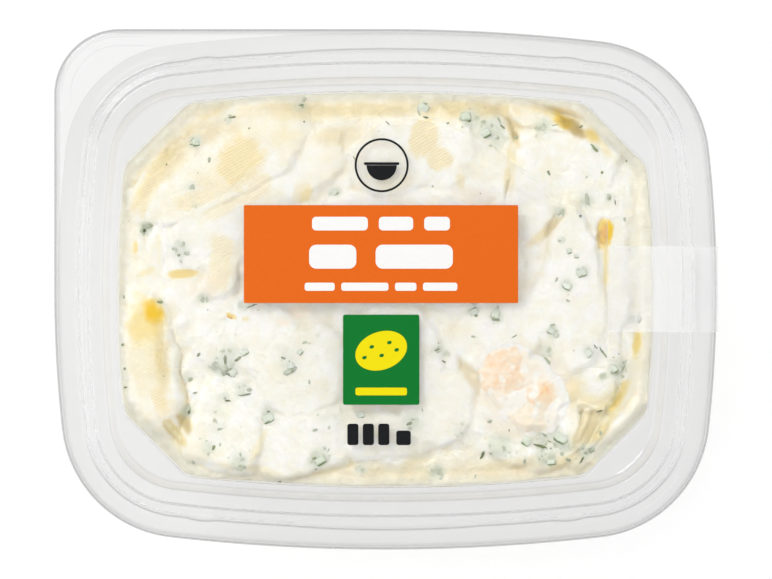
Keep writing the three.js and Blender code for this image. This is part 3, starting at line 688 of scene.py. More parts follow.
# Slices and lumps that show: pixel of the middle, length, width (pixels), turn (degrees),
# top (mm below the highest), tilt along and across (mm), squareness, taper, roundness of the edge (mm)
LUMPS = [
    (216, 167, 190, 80, 31, 0.7, 0.6, -0.3, 2.6, 0.25, 1.2),
    (157, 180, 92, 34, 62, 4.6, -1.0, 0.8, 2.4, 0.1, 1.6),
    (283, 112, 104, 26, 3, 5.6, 0.4, 0.6, 2.5, 0, 2.0),
    (306, 160, 86, 62, 24, 1.7, 0.6, -0.5, 2.6, 0.1, 1.6),
    (394, 158, 104, 96, 0, 0.2, 0.0, 0.2, 2.1, 0, 3.4),
    (434, 150, 74, 84, -14, 0.9, 0.8, 0.4, 2.8, 0.1, 1.4),
    (476, 156, 74, 104, 8, 1.5, -0.6, 0.3, 2.8, 0, 1.2),
    (537, 117, 60, 27, -27, 2.8, -0.4, -0.3, 2.8, 0, 0.7),
    (606, 144, 50, 18, -42, 5.2, 0.0, 0.2, 2.4, 0, 1.4),
    (563, 168, 108, 80, -8, 1.6, -0.8, 0.8, 3.0, 0.05, 1.2),
    (573, 284, 152, 64, 90, 0.4, 0.3, 0.2, 2.4, -0.42, 0.9),
    (527, 228, 34, 30, 20, 2.0, 0.0, 0.3, 2.4, 0, 1.2), (615, 262, 226, 34, 88, 3.0, -0.6, 0.6, 3.0, 0, 1.6),
    (639, 244, 208, 24, 93, 5.2, 0.0, 0.6, 2.8, 0, 1.8), (609, 325, 104, 36, 86, 2.0, 0.4, 0.5, 3.2, 0, 1.4),
    (594, 387, 42, 38, 6, 1.9, 0.9, 0.9, 3.4, 0, 0.6), (594, 409, 34, 6, -8, 1.9, 0.0, 0.0, 2.4, 0, 0.5),
    (222, 262, 34, 74, -8, 0.8, 0.0, -0.5, 2.8, 0, 0.8), (578, 330, 34, 78, 2, 0.4, 0.0, -0.3, 3.0, 0, 0.9),
    (523, 390, 84, 80, -24, 2.6, 0.2, 0.4, 2.2, -0.12, 2.6),
    (568, 426, 28, 54, -8, 2.0, 0.0, -0.3, 2.5, 0, 1.8), (608, 404, 62, 14, 61, 3.0, 0.4, 0.2, 2.6, 0, 1.0),
    (624, 424, 72, 22, 50, 3.4, 0.0, 0.4, 2.6, 0, 1.4),
    (296, 252, 130, 112, 12, 1.2, -0.4, 0.5, 2.3, 0, 2.4),
    (384, 262, 118, 124, 0, 0.4, 0.3, 0.2, 2.2, 0, 3.2),
    (466, 258, 104, 116, 14, 0.8, 0.4, -0.3, 2.4, 0, 2.4),
    (214, 238, 88, 66, 14, 0.9, 0.3, 0.2, 2.7, 0, 1.6), (166, 248, 62, 46, 84, 2.6, 0.4, 0.6, 2.6, 0, 1.4),
    (137, 262, 96, 24, 90, 4.8, 0.2, 0.6, 2.6, 0, 1.8),
    (151, 361, 126, 47, -82, 0.4, 0.2, -0.5, 2.6, 0.06, 0.8),
    (246, 336, 126, 88, -12, 1.3, 0.4, -0.4, 2.4, 0, 2.2),
    (306, 372, 118, 96, 26, 0.8, -0.4, 0.4, 2.3, 0, 2.8),
    (228, 420, 92, 76, 76, 1.2, -0.6, -0.3, 3.4, -0.06, 0.9),
    (302, 444, 104, 66, 12, 1.7, 0.3, 0.6, 3.0, 0, 1.2), (172, 430, 36, 13, -52, 5.4, 0.2, 0.2, 2.6, 0, 0.8),
    (186, 424, 30, 13, -62, 4.6, 0.2, 0.2, 2.6, 0, 0.8), (392, 352, 108, 112, 5, 0.3, 0.3, 0.2, 2.2, 0, 3.2),
    (438, 408, 78, 78, -12, 0.9, -0.3, 0.3, 2.5, 0, 1.5), (384, 436, 112, 50, 2, 1.1, 0.2, 0.5, 2.4, 0, 2.2),
    (446, 466, 82, 22, 4, 4.3, 0.2, 0.4, 2.6, 0, 1.6), (352, 474, 70, 18, -4, 5.0, 0.2, 0.3, 2.6, 0, 1.6),
    (506, 326, 96, 64, -8, 1.2, 0.4, 0.3, 2.3, 0, 2.4), (510, 452, 84, 30, -8, 2.8, 0.2, 0.4, 2.4, 0, 2.0),
    (594, 438, 96, 50, 52, 3.5, 0.0, 0.2, 2.4, 0, 2.4), (556, 458, 70, 34, 14, 3.1, 0.0, 0.2, 2.4, 0, 2.0),
    (584, 428, 54, 8, 62, 2.5, 0.2, 0.2, 2.6, 0, 0.6), (595, 438, 52, 8, 52, 2.8, 0.2, 0.2, 2.6, 0, 0.6),
    (574, 450, 40, 8, 42, 2.7, 0.2, 0.2, 2.6, 0, 0.6), (630, 186, 74, 24, -62, 5.0, 0.0, 0.5, 2.6, 0, 1.8),
    (556, 300, 60, 60, 30, 1.0, 0.0, 0.3, 2.3, 0, 2.0), (262, 204, 116, 48, 30, 1.0, 0.0, 0.0, 2.4, 0, 2.6),
    (424, 206, 130, 44, -2, 0.9, 0.0, 0.0, 2.4, 0, 2.6), (350, 206, 90, 40, 2, 1.0, 0.0, 0.0, 2.4, 0, 2.6),
]

# Gaps that go deep between the slices: pixel, length, width, turn, depth (mm)
GAPS = [
    (566, 121, 48, 20, -34, 3.2), (554, 224, 36, 9, 53, 1.0), (603, 236, 30, 9, 80, 1.6),
    (514, 128, 34, 8, -70, 2.4), (512, 172, 56, 5, 86, 1.3), (588, 434, 60, 26, 62, 2.2),
    (186, 424, 30, 12, -62, 2.2), (208, 135, 58, 20, 16, 1.4), (152, 184, 80, 12, 64, 1.6),
    (470, 378, 44, 12, -62, 1.8), (178, 376, 90, 9, -80, 1.6),
]

# Where potato, yolk, egg or sauce shows through the dressing, and where shade is painted in its gaps and
# crevices: pixel, length, width, turn, strength
SHOWS = {
    "potato": [
        (240, 161, 54, 46, 58, 0.85, 0.3), (219, 178, 62, 40, 36, 0.45, 0.5),
        (256, 188, 34, 20, 50, 0.6, 0.3), (217, 214, 40, 9, 24, 0.5, 0.4),
        (197, 198, 46, 18, 14, 0.55, 0.35), (222, 207, 46, 10, 24, 0.55, 0.25),
        (152, 178, 74, 17, 62, 0.6, 0.4), (143, 205, 26, 8, 80, 0.5, 0.4), (290, 110, 60, 16, -4, 0.4, 0.45),
        (220, 262, 24, 62, -8, 0.55, 0.18), (303, 191, 20, 24, 0, 0.5, 0.3),
        (424, 139, 32, 36, 14, 0.85, 0.2), (439, 158, 22, 26, 50, 0.8, 0.22),
        (461, 182, 8, 16, 14, 0.6, 0.3), (507, 178, 26, 7, 86, 0.7, 0.3), (540, 236, 36, 8, 38, 0.7, 0.35),
        (159, 401, 32, 16, -76, 0.7, 0.45), (146, 362, 100, 34, -83, 0.42, 0.6),
        (174, 433, 32, 11, -54, 1.0, 0.25), (607, 404, 56, 11, 61, 0.3, 0.5),
        (393, 182, 44, 14, 6, 0.3, 0.5), (335, 140, 38, 8, -32, 0.5, 0.4), (258, 446, 34, 7, 62, 0.4, 0.5),
        (580, 396, 30, 18, -30, 0.3, 0.9), (455, 330, 26, 22, 10, 0.3, 0.4),
        (543, 108, 24, 7, -24, 0.4, 0.4), (338, 160, 60, 54, 20, 0.22, 0.9),
        (376, 112, 280, 20, 0, 0.42, 0.9), (290, 136, 150, 24, -3, 0.36, 0.9),
        (480, 472, 230, 16, 1, 0.3, 0.9), (203, 168, 56, 40, 40, 0.22, 0.9),
        (200, 206, 70, 20, 14, 0.2, 0.8),
    ],
    "yolk": [
        (152, 311, 22, 18, -70, 1.1, 0.9), (145, 322, 52, 36, -80, 0.4, 0.6),
        (150, 345, 40, 18, -80, 0.2, 0.6), (606, 232, 28, 14, 84, 1.0, 0.35),
        (638, 345, 26, 9, 84, 0.5, 0.5), (607, 262, 50, 6, 89, 0.35, 0.5), (617, 401, 40, 12, 56, 0.5, 0.6),
        (609, 423, 44, 12, 58, 0.34, 0.8), (183, 274, 30, 9, 4, 0.6, 0.4), (306, 194, 22, 12, 70, 0.35, 0.5),
        (231, 316, 12, 5, -30, 0.6, 0.3), (245, 319, 8, 6, 0, 0.35, 0.5), (564, 121, 26, 13, -38, 0.8, 0.5),
        (592, 134, 18, 12, -44, 0.5, 0.8), (603, 146, 34, 9, -48, 0.26, 0.8),
        (134, 247, 16, 6, 86, 0.4, 0.5), (145, 272, 22, 7, 20, 0.25, 0.6), (158, 250, 46, 5, 88, 0.18, 0.6),
    ],
    "peach": [
        (522, 392, 92, 86, 60, 0.35, 0.3), (298, 312, 26, 14, 0, 0.6, 0.4), (283, 322, 12, 8, 0, 0.5, 0.4),
        (480, 200, 40, 24, -20, 0.3, 0.5), (205, 285, 40, 20, 10, 0.3, 0.5),
    ],
    # Painted shade in gaps and crevices, partly pooled sauce
    "pocket": [
        (584, 440, 70, 34, 46, 0.35, 0.35), (185, 423, 26, 12, -62, 0.9, 0.25),
        (566, 121, 46, 18, -34, 1.0, 0.3), (554, 224, 36, 7, 53, 1.0, 0.5), (607, 268, 64, 6, 89, 0.9, 0.5),
        (589, 428, 60, 9, 62, 0.7, 0.4), (600, 410, 40, 16, 58, 0.5, 0.5), (513, 130, 36, 9, -72, 0.9, 0.4),
        (513, 172, 44, 5, 86, 0.7, 0.5), (575, 390, 15, 34, -14, 0.75, 0.9), (590, 402, 36, 12, 2, 0.6, 0.9),
        (588, 432, 54, 22, 64, 0.9, 0.35), (566, 462, 38, 12, 24, 0.8, 0.4), (330, 479, 170, 7, 0, 0.2, 0.5),
        (471, 376, 30, 14, -62, 0.6, 0.4), (204, 132, 72, 24, 24, 0.4, 0.6),
        (174, 158, 44, 22, 50, 0.75, 0.6), (424, 471, 40, 13, -6, 0.3, 0.4), (540, 462, 90, 12, 6, 0.5, 0.5),
        (252, 470, 60, 8, -10, 0.5, 0.5), (162, 358, 76, 16, -84, 0.9, 0.5),
        (415, 462, 30, 12, 10, 0.5, 0.5), (158, 162, 74, 16, 60, 0.5, 0.5), (300, 112, 70, 14, 0, 0.45, 0.5),
        (545, 232, 26, 7, 60, 0.6, 0.4), (510, 158, 44, 5, 86, 0.6, 0.4), (440, 476, 90, 8, 3, 0.15, 0.5),
        (470, 108, 90, 18, -2, 0.9, 0.6), (350, 108, 150, 14, 0, 0.7, 0.6), (342, 134, 54, 18, 10, 0.6, 0.6),
        (548, 108, 60, 12, -8, 0.6, 0.6),
    ],
    # Painted deep shade in the deepest gaps, partly dark olive sauce
    "brown": [
        (574, 127, 28, 13, -36, 0.7, 0.4), (578, 129, 14, 9, -36, 0.8, 0.4),
        (556, 107, 40, 5, -14, 0.12, 0.6), (516, 135, 9, 6, -60, 0.5, 0.4),
        (513, 128, 34, 6, -70, 0.25, 0.5), (554, 226, 30, 6, 53, 0.36, 0.5), (600, 236, 12, 5, 74, 0.3, 0.5),
        (607, 236, 16, 3, 88, 0.4, 0.5), (592, 134, 20, 10, -40, 0.16, 0.5),
        (594, 414, 34, 4, -8, 0.32, 0.5), (594, 404, 30, 3, -4, 0.12, 0.6), (330, 479, 190, 8, 0, 0.08, 0.6),
        (520, 471, 160, 12, 5, 0.09, 0.6), (250, 112, 100, 12, 4, 0.07, 0.6),
        (548, 108, 60, 9, -8, 0.12, 0.6), (546, 129, 52, 3, -8, 0.36, 0.5), (590, 436, 46, 14, 62, 0.3, 0.5),
        (184, 424, 24, 9, -62, 0.42, 0.4), (172, 434, 28, 8, -54, 0.25, 0.4),
        (204, 132, 66, 20, 22, 0.2, 0.7), (170, 157, 40, 16, 52, 0.2, 0.6), (154, 176, 60, 8, 62, 0.12, 0.5),
        (468, 108, 84, 15, -3, 0.18, 0.6), (345, 109, 170, 12, 0, 0.1, 0.6),
        (344, 134, 50, 16, 10, 0.15, 0.6), (286, 107, 62, 9, 0, 0.2, 0.5), (161, 356, 60, 11, -84, 0.2, 0.5),
        (472, 380, 34, 8, -62, 0.1, 0.5),
    ],
}

# Where herbs lie thick: pixel, spread (pixels), strength
HERBS = [
    (424, 104, 7, 0.8), (470, 118, 10, 1.0), (492, 124, 12, 0.6), (499, 137, 12, 0.65), (300, 104, 10, 0.5),
    (190, 187, 7, 0.6), (195, 140, 9, 0.8), (228, 116, 8, 0.7), (145, 228, 8, 1.0), (181, 252, 8, 1.1),
    (178, 246, 8, 0.7), (337, 192, 7, 0.8), (596, 148, 6, 0.9), (545, 128, 14, 0.7), (587, 199, 8, 0.8),
    (611, 196, 6, 0.8), (560, 212, 7, 1.0), (562, 240, 5, 0.9), (583, 272, 7, 1.1), (566, 284, 7, 1.1),
    (473, 310, 8, 1.0), (497, 316, 8, 1.1), (553, 332, 7, 0.9), (546, 352, 9, 0.9), (590, 352, 8, 1.0),
    (634, 320, 7, 0.9), (620, 370, 12, 0.9), (556, 436, 13, 0.7), (545, 440, 12, 0.5), (588, 452, 9, 1.0),
    (546, 458, 9, 0.9), (498, 448, 11, 1.0), (437, 472, 10, 1.0), (322, 456, 12, 1.1), (312, 464, 8, 0.8),
    (238, 462, 10, 0.9), (268, 414, 9, 0.8), (290, 366, 14, 0.45), (223, 368, 11, 1.5), (232, 356, 10, 0.8),
    (242, 390, 9, 1.0), (224, 397, 6, 0.7), (186, 376, 7, 0.8), (202, 298, 9, 0.6), (160, 302, 6, 0.6),
    (207, 448, 8, 0.7), (186, 412, 8, 0.9), (360, 470, 8, 0.8), (413, 422, 12, 0.9), (404, 392, 10, 0.6),
    (215, 345, 34, 0.25), (305, 335, 42, 0.2), (480, 136, 22, 0.35), (550, 452, 34, 0.3),
    (430, 420, 30, 0.2), (590, 190, 24, 0.2), (236, 440, 32, 0.2), (200, 190, 26, 0.15),
    (560, 320, 36, 0.15), (420, 340, 30, 0.2), (214, 402, 16, 0.35), (212, 424, 16, 0.3),
    (502, 444, 16, 0.5), (440, 350, 12, 0.6), (602, 378, 6, 0.5), (565, 446, 10, 0.5), (245, 306, 8, 0.8),
    (196, 206, 8, 0.3), (380, 136, 14, 0.3), (330, 420, 16, 0.5), (280, 350, 16, 0.3), (462, 430, 14, 0.5),
    (633, 250, 10, 0.4),
]

slices_noise = Noise(5)
skin_noise = Noise(23)
stain_noise = Noise(41)


def turned(x, y, turn):
    """Coordinates turned anticlockwise, in degrees."""
    cosine, sine = math.cos(math.radians(turn)), math.sin(math.radians(turn))
    return x * cosine - y * sine, x * sine + y * cosine


def in_ellipse(x, y, px, py, length, width, turn, squareness=2.0, taper=0.0):
    """How far a point is from an ellipse's middle, 1 on its edge, and where it is along and across it."""
    cx, cy = from_photo(px, py)
    along, across = turned(x - cx, y - cy, -turn)
    u = along / (length * MM_PER_PIXEL / 2)
    v = across / (width * MM_PER_PIXEL / 2) / np.clip(1 + taper * u, 0.25, None)
    far = (np.abs(u) ** squareness + np.abs(v) ** squareness) ** (1 / squareness)
    return far, u, v


def smooth_max(a, b, blend):
    share = np.clip(blend - np.abs(a - b), 0, None) / blend
    return np.maximum(a, b) + share * share * blend / 4


def rim_distance(x, y):
    """Distance inwards from the plain outline."""
    ax, ay = np.abs(x), np.abs(y)
    side = np.minimum(SHORT_BOW - np.hypot(ax - SHORT_CENTRE, ay), LONG_BOW - np.hypot(ax, ay - LONG_CENTRE))
    angle = np.arctan2(ay - CENTRE[1], ax - CENTRE[0])
    in_corner = (angle > CORNER_START) & (angle < CORNER_END) & (ax > CENTRE[0])
    return np.where(in_corner, CORNER - np.hypot(ax - CENTRE[0], ay - CENTRE[1]), side)


def well_distance(x, y):
    """Distance inwards from the well's bowed sides and cut corners."""
    side = np.minimum(
        SHORT_BOW - WELL_TOP - np.hypot(np.abs(x) - SHORT_CENTRE, y),
        LONG_BOW - WELL_TOP - np.hypot(x, np.abs(y) - LONG_CENTRE),
    )
    mx, my = sides_meet(WELL_TOP)
    cut = (mx + my - WELL_CHAMFER - np.abs(x) - np.abs(y)) / math.sqrt(2)
    return np.minimum(side, cut)


def salad_height(x, y):
    """Level of the dressed surface."""
    wx = x + 1.4 * slices_noise(x / 13, y / 13) + 0.7 * slices_noise(x / 4.5, y / 4.5, 3)
    wy = y + 1.4 * slices_noise(x / 13, y / 13, 9) + 0.7 * slices_noise(x / 4.5, y / 4.5, 6)
    wx += 0.4 * slices_noise(x / 1.7, y / 1.7, 13)
    wy += 0.4 * slices_noise(x / 1.7, y / 1.7, 16)
    depth = well_distance(x, y)
    # The dressing between the slices, drawn up a little where it meets the wall
    height = SALAD_TOP - 4.0 + 0.8 * slices_noise(x / 11, y / 11, 4) + 0.5 * skin_noise(x / 3.2, y / 3.2, 9)
    height -= 0.9 * np.exp(-(((depth - 3.2) / 1.8) ** 2))
    height += 1.5 * smoothstep(6, 15, depth)
    for *place, deep in GAPS:
        far, _, _ = in_ellipse(wx, wy, *place)
        height -= deep * smoothstep(1.3, 0.6, far)
    for px, py, length, width, turn, drop, along, across, squareness, taper, edge in LUMPS:
        far, u, v = in_ellipse(wx, wy, px, py, length, width, turn, squareness, taper)
        size = min(length, width) * MM_PER_PIXEL / 2
        out = (far - 1) * size
        crown = SALAD_TOP - 0.95 * drop + along * u + across * v - 0.5 * np.minimum(far, 1.2) ** 2
        fall = np.where(out < -edge, 0, (out + edge) ** 2 / (2 * edge))
        fall = np.where(out > 0, edge / 2 + out, fall)
        lump = crown - 1.7 * fall
        height = np.where(lump > SALAD_TOP - 12, smooth_max(height, lump, 0.45), height)
    height += 0.30 * skin_noise(x / 6, y / 6) + 0.16 * skin_noise(x / 2.3, y / 2.3, 4)
    height += 0.07 * skin_noise(x / 0.9, y / 0.9, 8)
    height -= 0.8 * np.exp(-np.clip(depth, 0, None) / 0.8)
    return SALAD_TOP - np.log1p(np.exp(np.clip((SALAD_TOP - height) * 2.2, -30, 30))) / 2.2


def make_dressed_salad():
    """A slab whose upper side is the dressed surface, cut to the tub's inside."""
    xs, ys = (np.arange(SLAB_INSET - size / 2, size / 2 - SLAB_INSET, GRID) for size in (LENGTH, WIDTH))
    x, y = np.meshgrid(xs, ys)
    top = np.stack([x, y, salad_height(x, y)], -1).reshape(-1, 3)
    corners = [[xs[i], ys[j], SLAB_FOOT] for i, j in ((0, 0), (-1, 0), (-1, -1), (0, -1))]
    base = x.size
    at = np.arange(base).reshape(x.shape)
    faces = np.stack([at[:-1, :-1], at[:-1, 1:], at[1:, 1:], at[1:, :-1]], -1).reshape(-1, 4).tolist()
    for k, side in enumerate((at[0, ::-1], at[::-1, -1], at[-1, :], at[:, 0])):
        faces.append(side.tolist() + [base + k, base + (k + 1) % 4])
    faces.append([base + 3, base + 2, base + 1, base])
    slab = make_mesh("salad_dressing", np.concatenate([top, corners]), faces)

    inside = [(inset - INTO_WALL, level - INTO_WALL, 1) for inset, level, _ in TUB_INSIDE[:-2]]
    rise = [(WELL_TOP + 0.45, LEDGE - 1.0, 1), (WELL_TOP + 0.45, SALAD_TOP + 0.6, 1)]
    rows = rounded((inside + rise)[::-1], 0.5)
    dense = []
    for first, second in zip(rows, rows[1:]):
        parts = max(1, int(np.linalg.norm((second - first)[:2]) / SIDE_STEP))
        dense.extend(first + (second - first) * k / parts for k in range(parts))
    room = loft("room", [ring(*row) for row in dense + [rows[-1]]])

    cut = slab.modifiers.new("cut", "BOOLEAN")
    cut.operation = "INTERSECT"
    cut.solver = "MANIFOLD"
    cut.object = room
    bake(slab)
    bpy.data.objects.remove(room)
    shade(slab, True)
    return slab


def bake(piece):
    """Makes a piece's modifiers its plain mesh."""
    graph = bpy.context.evaluated_depsgraph_get()
    mesh = bpy.data.meshes.new_from_object(piece.evaluated_get(graph))
    piece.modifiers.clear()
    piece.data = mesh
    return piece


def vertex_places(piece):
    places = np.zeros(len(piece.data.vertices) * 3)
    piece.data.vertices.foreach_get("co", places)
    return places.reshape(-1, 3) / MM


def set_attribute(piece, name, values):
    attribute = piece.data.attributes.get(name) or piece.data.attributes.new(name, "FLOAT", "POINT")
    attribute.data.foreach_set("value", np.asarray(values, np.float32))


def paint_salad(salad):
    """Says on each vertex what shows through the dressing there, and where shade is painted in its crevices
    and gaps.
    """
    x, y, z = vertex_places(salad).T
    surface = salad_height(x, y)
    on_top = smoothstep(0.5, 0.2, surface - z)
    around = [
        salad_height(x + reach * math.cos(a), y + reach * math.sin(a))
        for reach in (1.6, 3.2)
        for a in np.linspace(0, 2 * math.pi, 6, endpoint=False)
    ]
    sunk = np.mean(around, 0) - surface
    low_lying = smoothstep(2.4, 5.6, SALAD_TOP - surface)
    ragged = stain_noise(x / 3.2, y / 3.2, z / 3.2) + 0.5 * stain_noise(x / 1.2, y / 1.2, z / 1.2)
    depth = well_distance(x, y)
    amounts = {}
    for name, marks in SHOWS.items():
        amount = np.zeros_like(x)
        for *place, strength, soft in marks:
            far, _, _ = in_ellipse(x, y, *place, 2.4)
            amount = np.maximum(amount, strength * smoothstep(1 + soft, 1 - soft, far + 0.3 * ragged))
        amounts[name] = amount * on_top
    wide = stain_noise(x / 8, y / 8, 5)
    # Painted shade: crevices and low ground, where less light reaches, get the pale olive-yellow, less of it
    # near the wall
    creases = smoothstep(0.15, 1.3, sunk + 0.2 * ragged) * 0.5 + 0.45 * low_lying * (0.6 + 0.5 * wide)
    creases = creases * (1 - 0.5 * smoothstep(4.5, 1.5, depth))
    amounts["pocket"] = np.clip(np.maximum(amounts["pocket"], creases), 0, 0.9) * on_top
    # A band within about 3 mm of the well's wall, greyer
    amounts["smear"] = smoothstep(3.4, 0.9, depth + 0.5 * ragged) * on_top
    amounts["wall"] = 1 - on_top
    density = np.full_like(x, 0.03) + 0.10 * smoothstep(0.1, 0.5, stain_noise(x / 6, y / 6, 31))
    for px, py, spread, strength in HERBS:
        cx, cy = from_photo(px, py)
        reach = spread * MM_PER_PIXEL * 0.62
        density += strength * np.exp(-((x - cx) ** 2 + (y - cy) ** 2) / (2 * reach**2))
    amounts["herb_density"] = np.minimum(density, 0.9) * on_top + 0.12 * amounts["wall"]
    for name, values in amounts.items():
        set_attribute(salad, name, values)


# Small pieces


def lens_on_surface(px, py, length, width, turn, rise, rings=7, around=28, squareness=2.3, ragged=0.16):
    """A low closed piece that follows the dressed surface and stands proud of it by its rise."""
    cx, cy = from_photo(px, py)
    a = np.linspace(0, 2 * math.pi, around, endpoint=False)
    edge = 1 / (np.abs(np.cos(a)) ** squareness + np.abs(np.sin(a)) ** squareness) ** (1 / squareness)
    edge = edge * (1 + ragged * stain_noise(np.cos(a) * 1.7 + px, np.sin(a) * 1.7 + py, 2))
    upper, lower = [], []
    for k in range(1, rings + 1):
        share = k / rings
        u = np.cos(a) * edge * share * length * MM_PER_PIXEL / 2
        v = np.sin(a) * edge * share * width * MM_PER_PIXEL / 2
        x, y = turned(u, v, turn)
        x, y = x + cx, y + cy
        level = salad_height(x, y)
        upper.append(np.stack([x, y, level + rise * (1 - share**4) - 0.1 * share**4], 1))
        lower.append(np.stack([x, y, level - 0.9 + 0.5 * share**2], 1))
    middle = float(salad_height(np.array([cx]), np.array([cy]))[0])
    vertices = [[cx, cy, middle + rise]] + np.concatenate(upper).tolist()
    vertices += np.concatenate(lower[::-1]).tolist() + [[cx, cy, middle - 0.9]]
    faces = [(0, 1 + i, 1 + (i + 1) % around) for i in range(around)]
    starts = range(1, 1 + 2 * rings * around, around)
    for first, second in zip(starts, starts[1:]):
        faces.extend(strip(first, second, around))
    last, end = starts[-1], 1 + 2 * rings * around
    faces.extend((last + i, end, last + (i + 1) % around) for i in range(around))
    return vertices, faces


def join_shells(name, shells):
    vertices, faces = [], []
    for shell_vertices, shell_faces in shells:
        start = len(vertices)
        vertices.extend(shell_vertices)
        faces.extend(tuple(start + i for i in face) for face in shell_faces)
    return make_mesh(name, vertices, faces)


def make_slivers():
    """Edges of potato slices and crumbs of yolk that stand out of the dressing."""
    potato = [(172, 431, 30, 7, -52, 0.15), (610, 403, 46, 7, 61, 0.15), (598, 430, 46, 4, 60, 0.12)]
    yolk = [(605, 234, 23, 8, 82, 0.15), (229, 317, 8, 3, -25, 0.1)]
    for name, marks, material in (("bare_potato", potato, POTATO_FLESH), ("yolk_pieces", yolk, YOLK_CRUMB)):
        shells = [lens_on_surface(*mark) for mark in marks]
        settle(join_shells(name, shells), material, "salad")


# The egg's outline: pixels, from its right side anticlockwise
EGG_MIDDLE = (522, 391)
EGG_OUTLINE = [
    (571, 393), (565, 380), (552, 368), (541, 355), (526, 348), (512, 340), (497, 348), (485, 354),
    (479, 366), (482, 383), (489, 400), (497, 413), (506, 425), (519, 431), (533, 436), (550, 438),
    (564, 430), (569, 412),
]
# Its lumps: pixel, reach (pixels), level over the lowest (mm), and how yolky
EGG_LUMPS = [
    (507, 372, 26, 1.5, 1.0), (528, 370, 20, 1.3, 0.55), (541, 395, 17, 1.6, 0.75), (518, 398, 20, 1.0, 0.1),
    (529, 418, 19, 1.3, 0.6), (500, 396, 15, 0.9, 0.6), (557, 411, 17, 1.1, 0.12), (549, 378, 13, 0.8, 0.4),
]
# Pixel where its yolk is richest
EGG_SPOT = (545, 393)
EGG_AROUND = 200
EGG_RINGS = 64


def make_egg():
    """A broken quarter of boiled egg, crumbled and smeared with dressing."""
    cx, cy = from_photo(*EGG_MIDDLE)
    outline = np.array([from_photo(*corner) for corner in EGG_OUTLINE]) - [cx, cy]
    angles = np.arctan2(outline[:, 1], outline[:, 0])
    order = np.argsort(angles)
    reach = np.hypot(outline[:, 0], outline[:, 1])
    a = np.linspace(-math.pi, math.pi, EGG_AROUND, endpoint=False)
    edge = np.interp(a, angles[order], reach[order], period=2 * math.pi)
    edge = (edge + np.roll(edge, 2) + np.roll(edge, -2)) / 3
    edge = edge * (1 + 0.10 * stain_noise(np.cos(a) * 2.6, np.sin(a) * 2.6, 11))
    edge = edge * (1 + 0.04 * stain_noise(np.cos(a) * 8, np.sin(a) * 8, 19))
    share = np.linspace(0, 1, EGG_RINGS + 1)[1:, None]
    x = np.append(cx + share * edge * np.cos(a), cx)
    y = np.append(cy + share * edge * np.sin(a), cy)
    rim = np.append((share + 0 * a).ravel(), 0)
    wx, wy = x + 0.5 * stain_noise(x / 2, y / 2, 3), y + 0.5 * stain_noise(x / 2, y / 2, 8)
    level, yolky = np.zeros_like(x), np.zeros_like(x)
    for px, py, size, top, share_of_yolk in EGG_LUMPS:
        lx, ly = from_photo(px, py)
        near = np.hypot(wx - lx, wy - ly) / (size * MM_PER_PIXEL)
        lump = top - 1.1 * near**2
        yolky = np.where(lump > level, share_of_yolk, yolky)
        level = smooth_max(level, lump, 0.18)
    crumbs = 0.16 * skin_noise(x / 1.3, y / 1.3, 21) + 0.09 * np.abs(skin_noise(x / 0.6, y / 0.6, 22))
    base = salad_height(x, y)
    turns = np.linspace(0, 2 * math.pi, 8, endpoint=False)
    soft = np.mean([salad_height(x + 2.2 * math.cos(t), y + 2.2 * math.sin(t)) for t in turns], 0)
    ground = soft + (base - soft) * smoothstep(0.6, 1.0, rim)
    upper = ground + (0.35 + level * 0.62 + crumbs) * smoothstep(1.0, 0.76, rim)
    upper -= 0.3 * smoothstep(0.93, 1.0, rim)
    toward = ((x - cx) * 0.8 + (y - cy) * 0.35) / 9
    film = smoothstep(0.88, 1.15, rim + 0.35 * toward + 0.15 * stain_noise(x / 1.4, y / 1.4, 5))
    film = np.maximum(film, 0.55 * smoothstep(0.2, 0.6, stain_noise(x / 2.6, y / 2.6, 17)))
    patchy = 0.95 + 0.4 * stain_noise(x / 1.8, y / 1.8, 14)
    count = EGG_RINGS * EGG_AROUND
    top = np.stack([x, y, np.minimum(upper, SALAD_TOP)], 1)
    bottom = np.stack([x, y, base - 1.6], 1)
    starts = range(0, count, EGG_AROUND)
    skin = [quad for inner, outer in zip(starts, starts[1:]) for quad in strip(inner, outer, EGG_AROUND)]
    skin += [(count, i, (i + 1) % EGG_AROUND) for i in range(EGG_AROUND)]
    under = [tuple(count + 1 + i for i in face[::-1]) for face in skin]
    faces = skin + under + strip(starts[-1], count + 1 + starts[-1], EGG_AROUND)
    egg = make_mesh("egg_chunk", np.concatenate([top, bottom]), faces)
    spot_x, spot_y = from_photo(*EGG_SPOT)
    spot = np.exp(-((x - spot_x) ** 2 + (y - spot_y) ** 2) / 3.2)
    yolk_share = np.clip(yolky * patchy * (1 - 0.8 * film), 0, 1) + 0.55 * spot
    set_attribute(egg, "yolky", np.tile(yolk_share, 2))
    set_attribute(egg, "film", np.tile(film, 2))
    return settle(egg, EGG, "salad")


# Print and film

INK = 0.15
FILM = 0.2
FILM_GAP = 0.1
PRINT = LID_PANEL + FILM_GAP + FILM + 0.05


def rounded_box(x0, y0, x1, y1, radius, steps=6):
    left, right, low_side, high_side = x0 + radius, x1 - radius, y0 + radius, y1 - radius
    corners = ((right, low_side), (right, high_side), (left, high_side), (left, low_side))
    quarter = math.pi / 2
    arcs = [arc(*at, radius, (k - 1) * quarter, k * quarter, steps) for k, at in enumerate(corners)]
    return np.concatenate(arcs)


def plate(outline, z, thickness, soft=0.03):
    """A thin plate with a softened upper edge, as vertices and faces."""
    count = len(outline)
    flat = np.array(outline)
    middle = flat.mean(0)
    inner = flat + (middle - flat) * (soft / np.linalg.norm(flat - middle, axis=1).min())
    levels = [(flat, z), (flat, z + thickness - soft), (inner, z + thickness)]
    vertices = [[px, py, level] for points, level in levels for px, py in points]
    faces = [tuple(range(count - 1, -1, -1)), tuple(range(2 * count, 3 * count))]
    return vertices, faces + strip(count, 0, count) + strip(2 * count, count, count)


def flat_piece(name, shells, material, slot, *replaced):
    piece = join_shells(name, shells)
    shade(piece, False)
    return settle(piece, material, slot, *replaced)


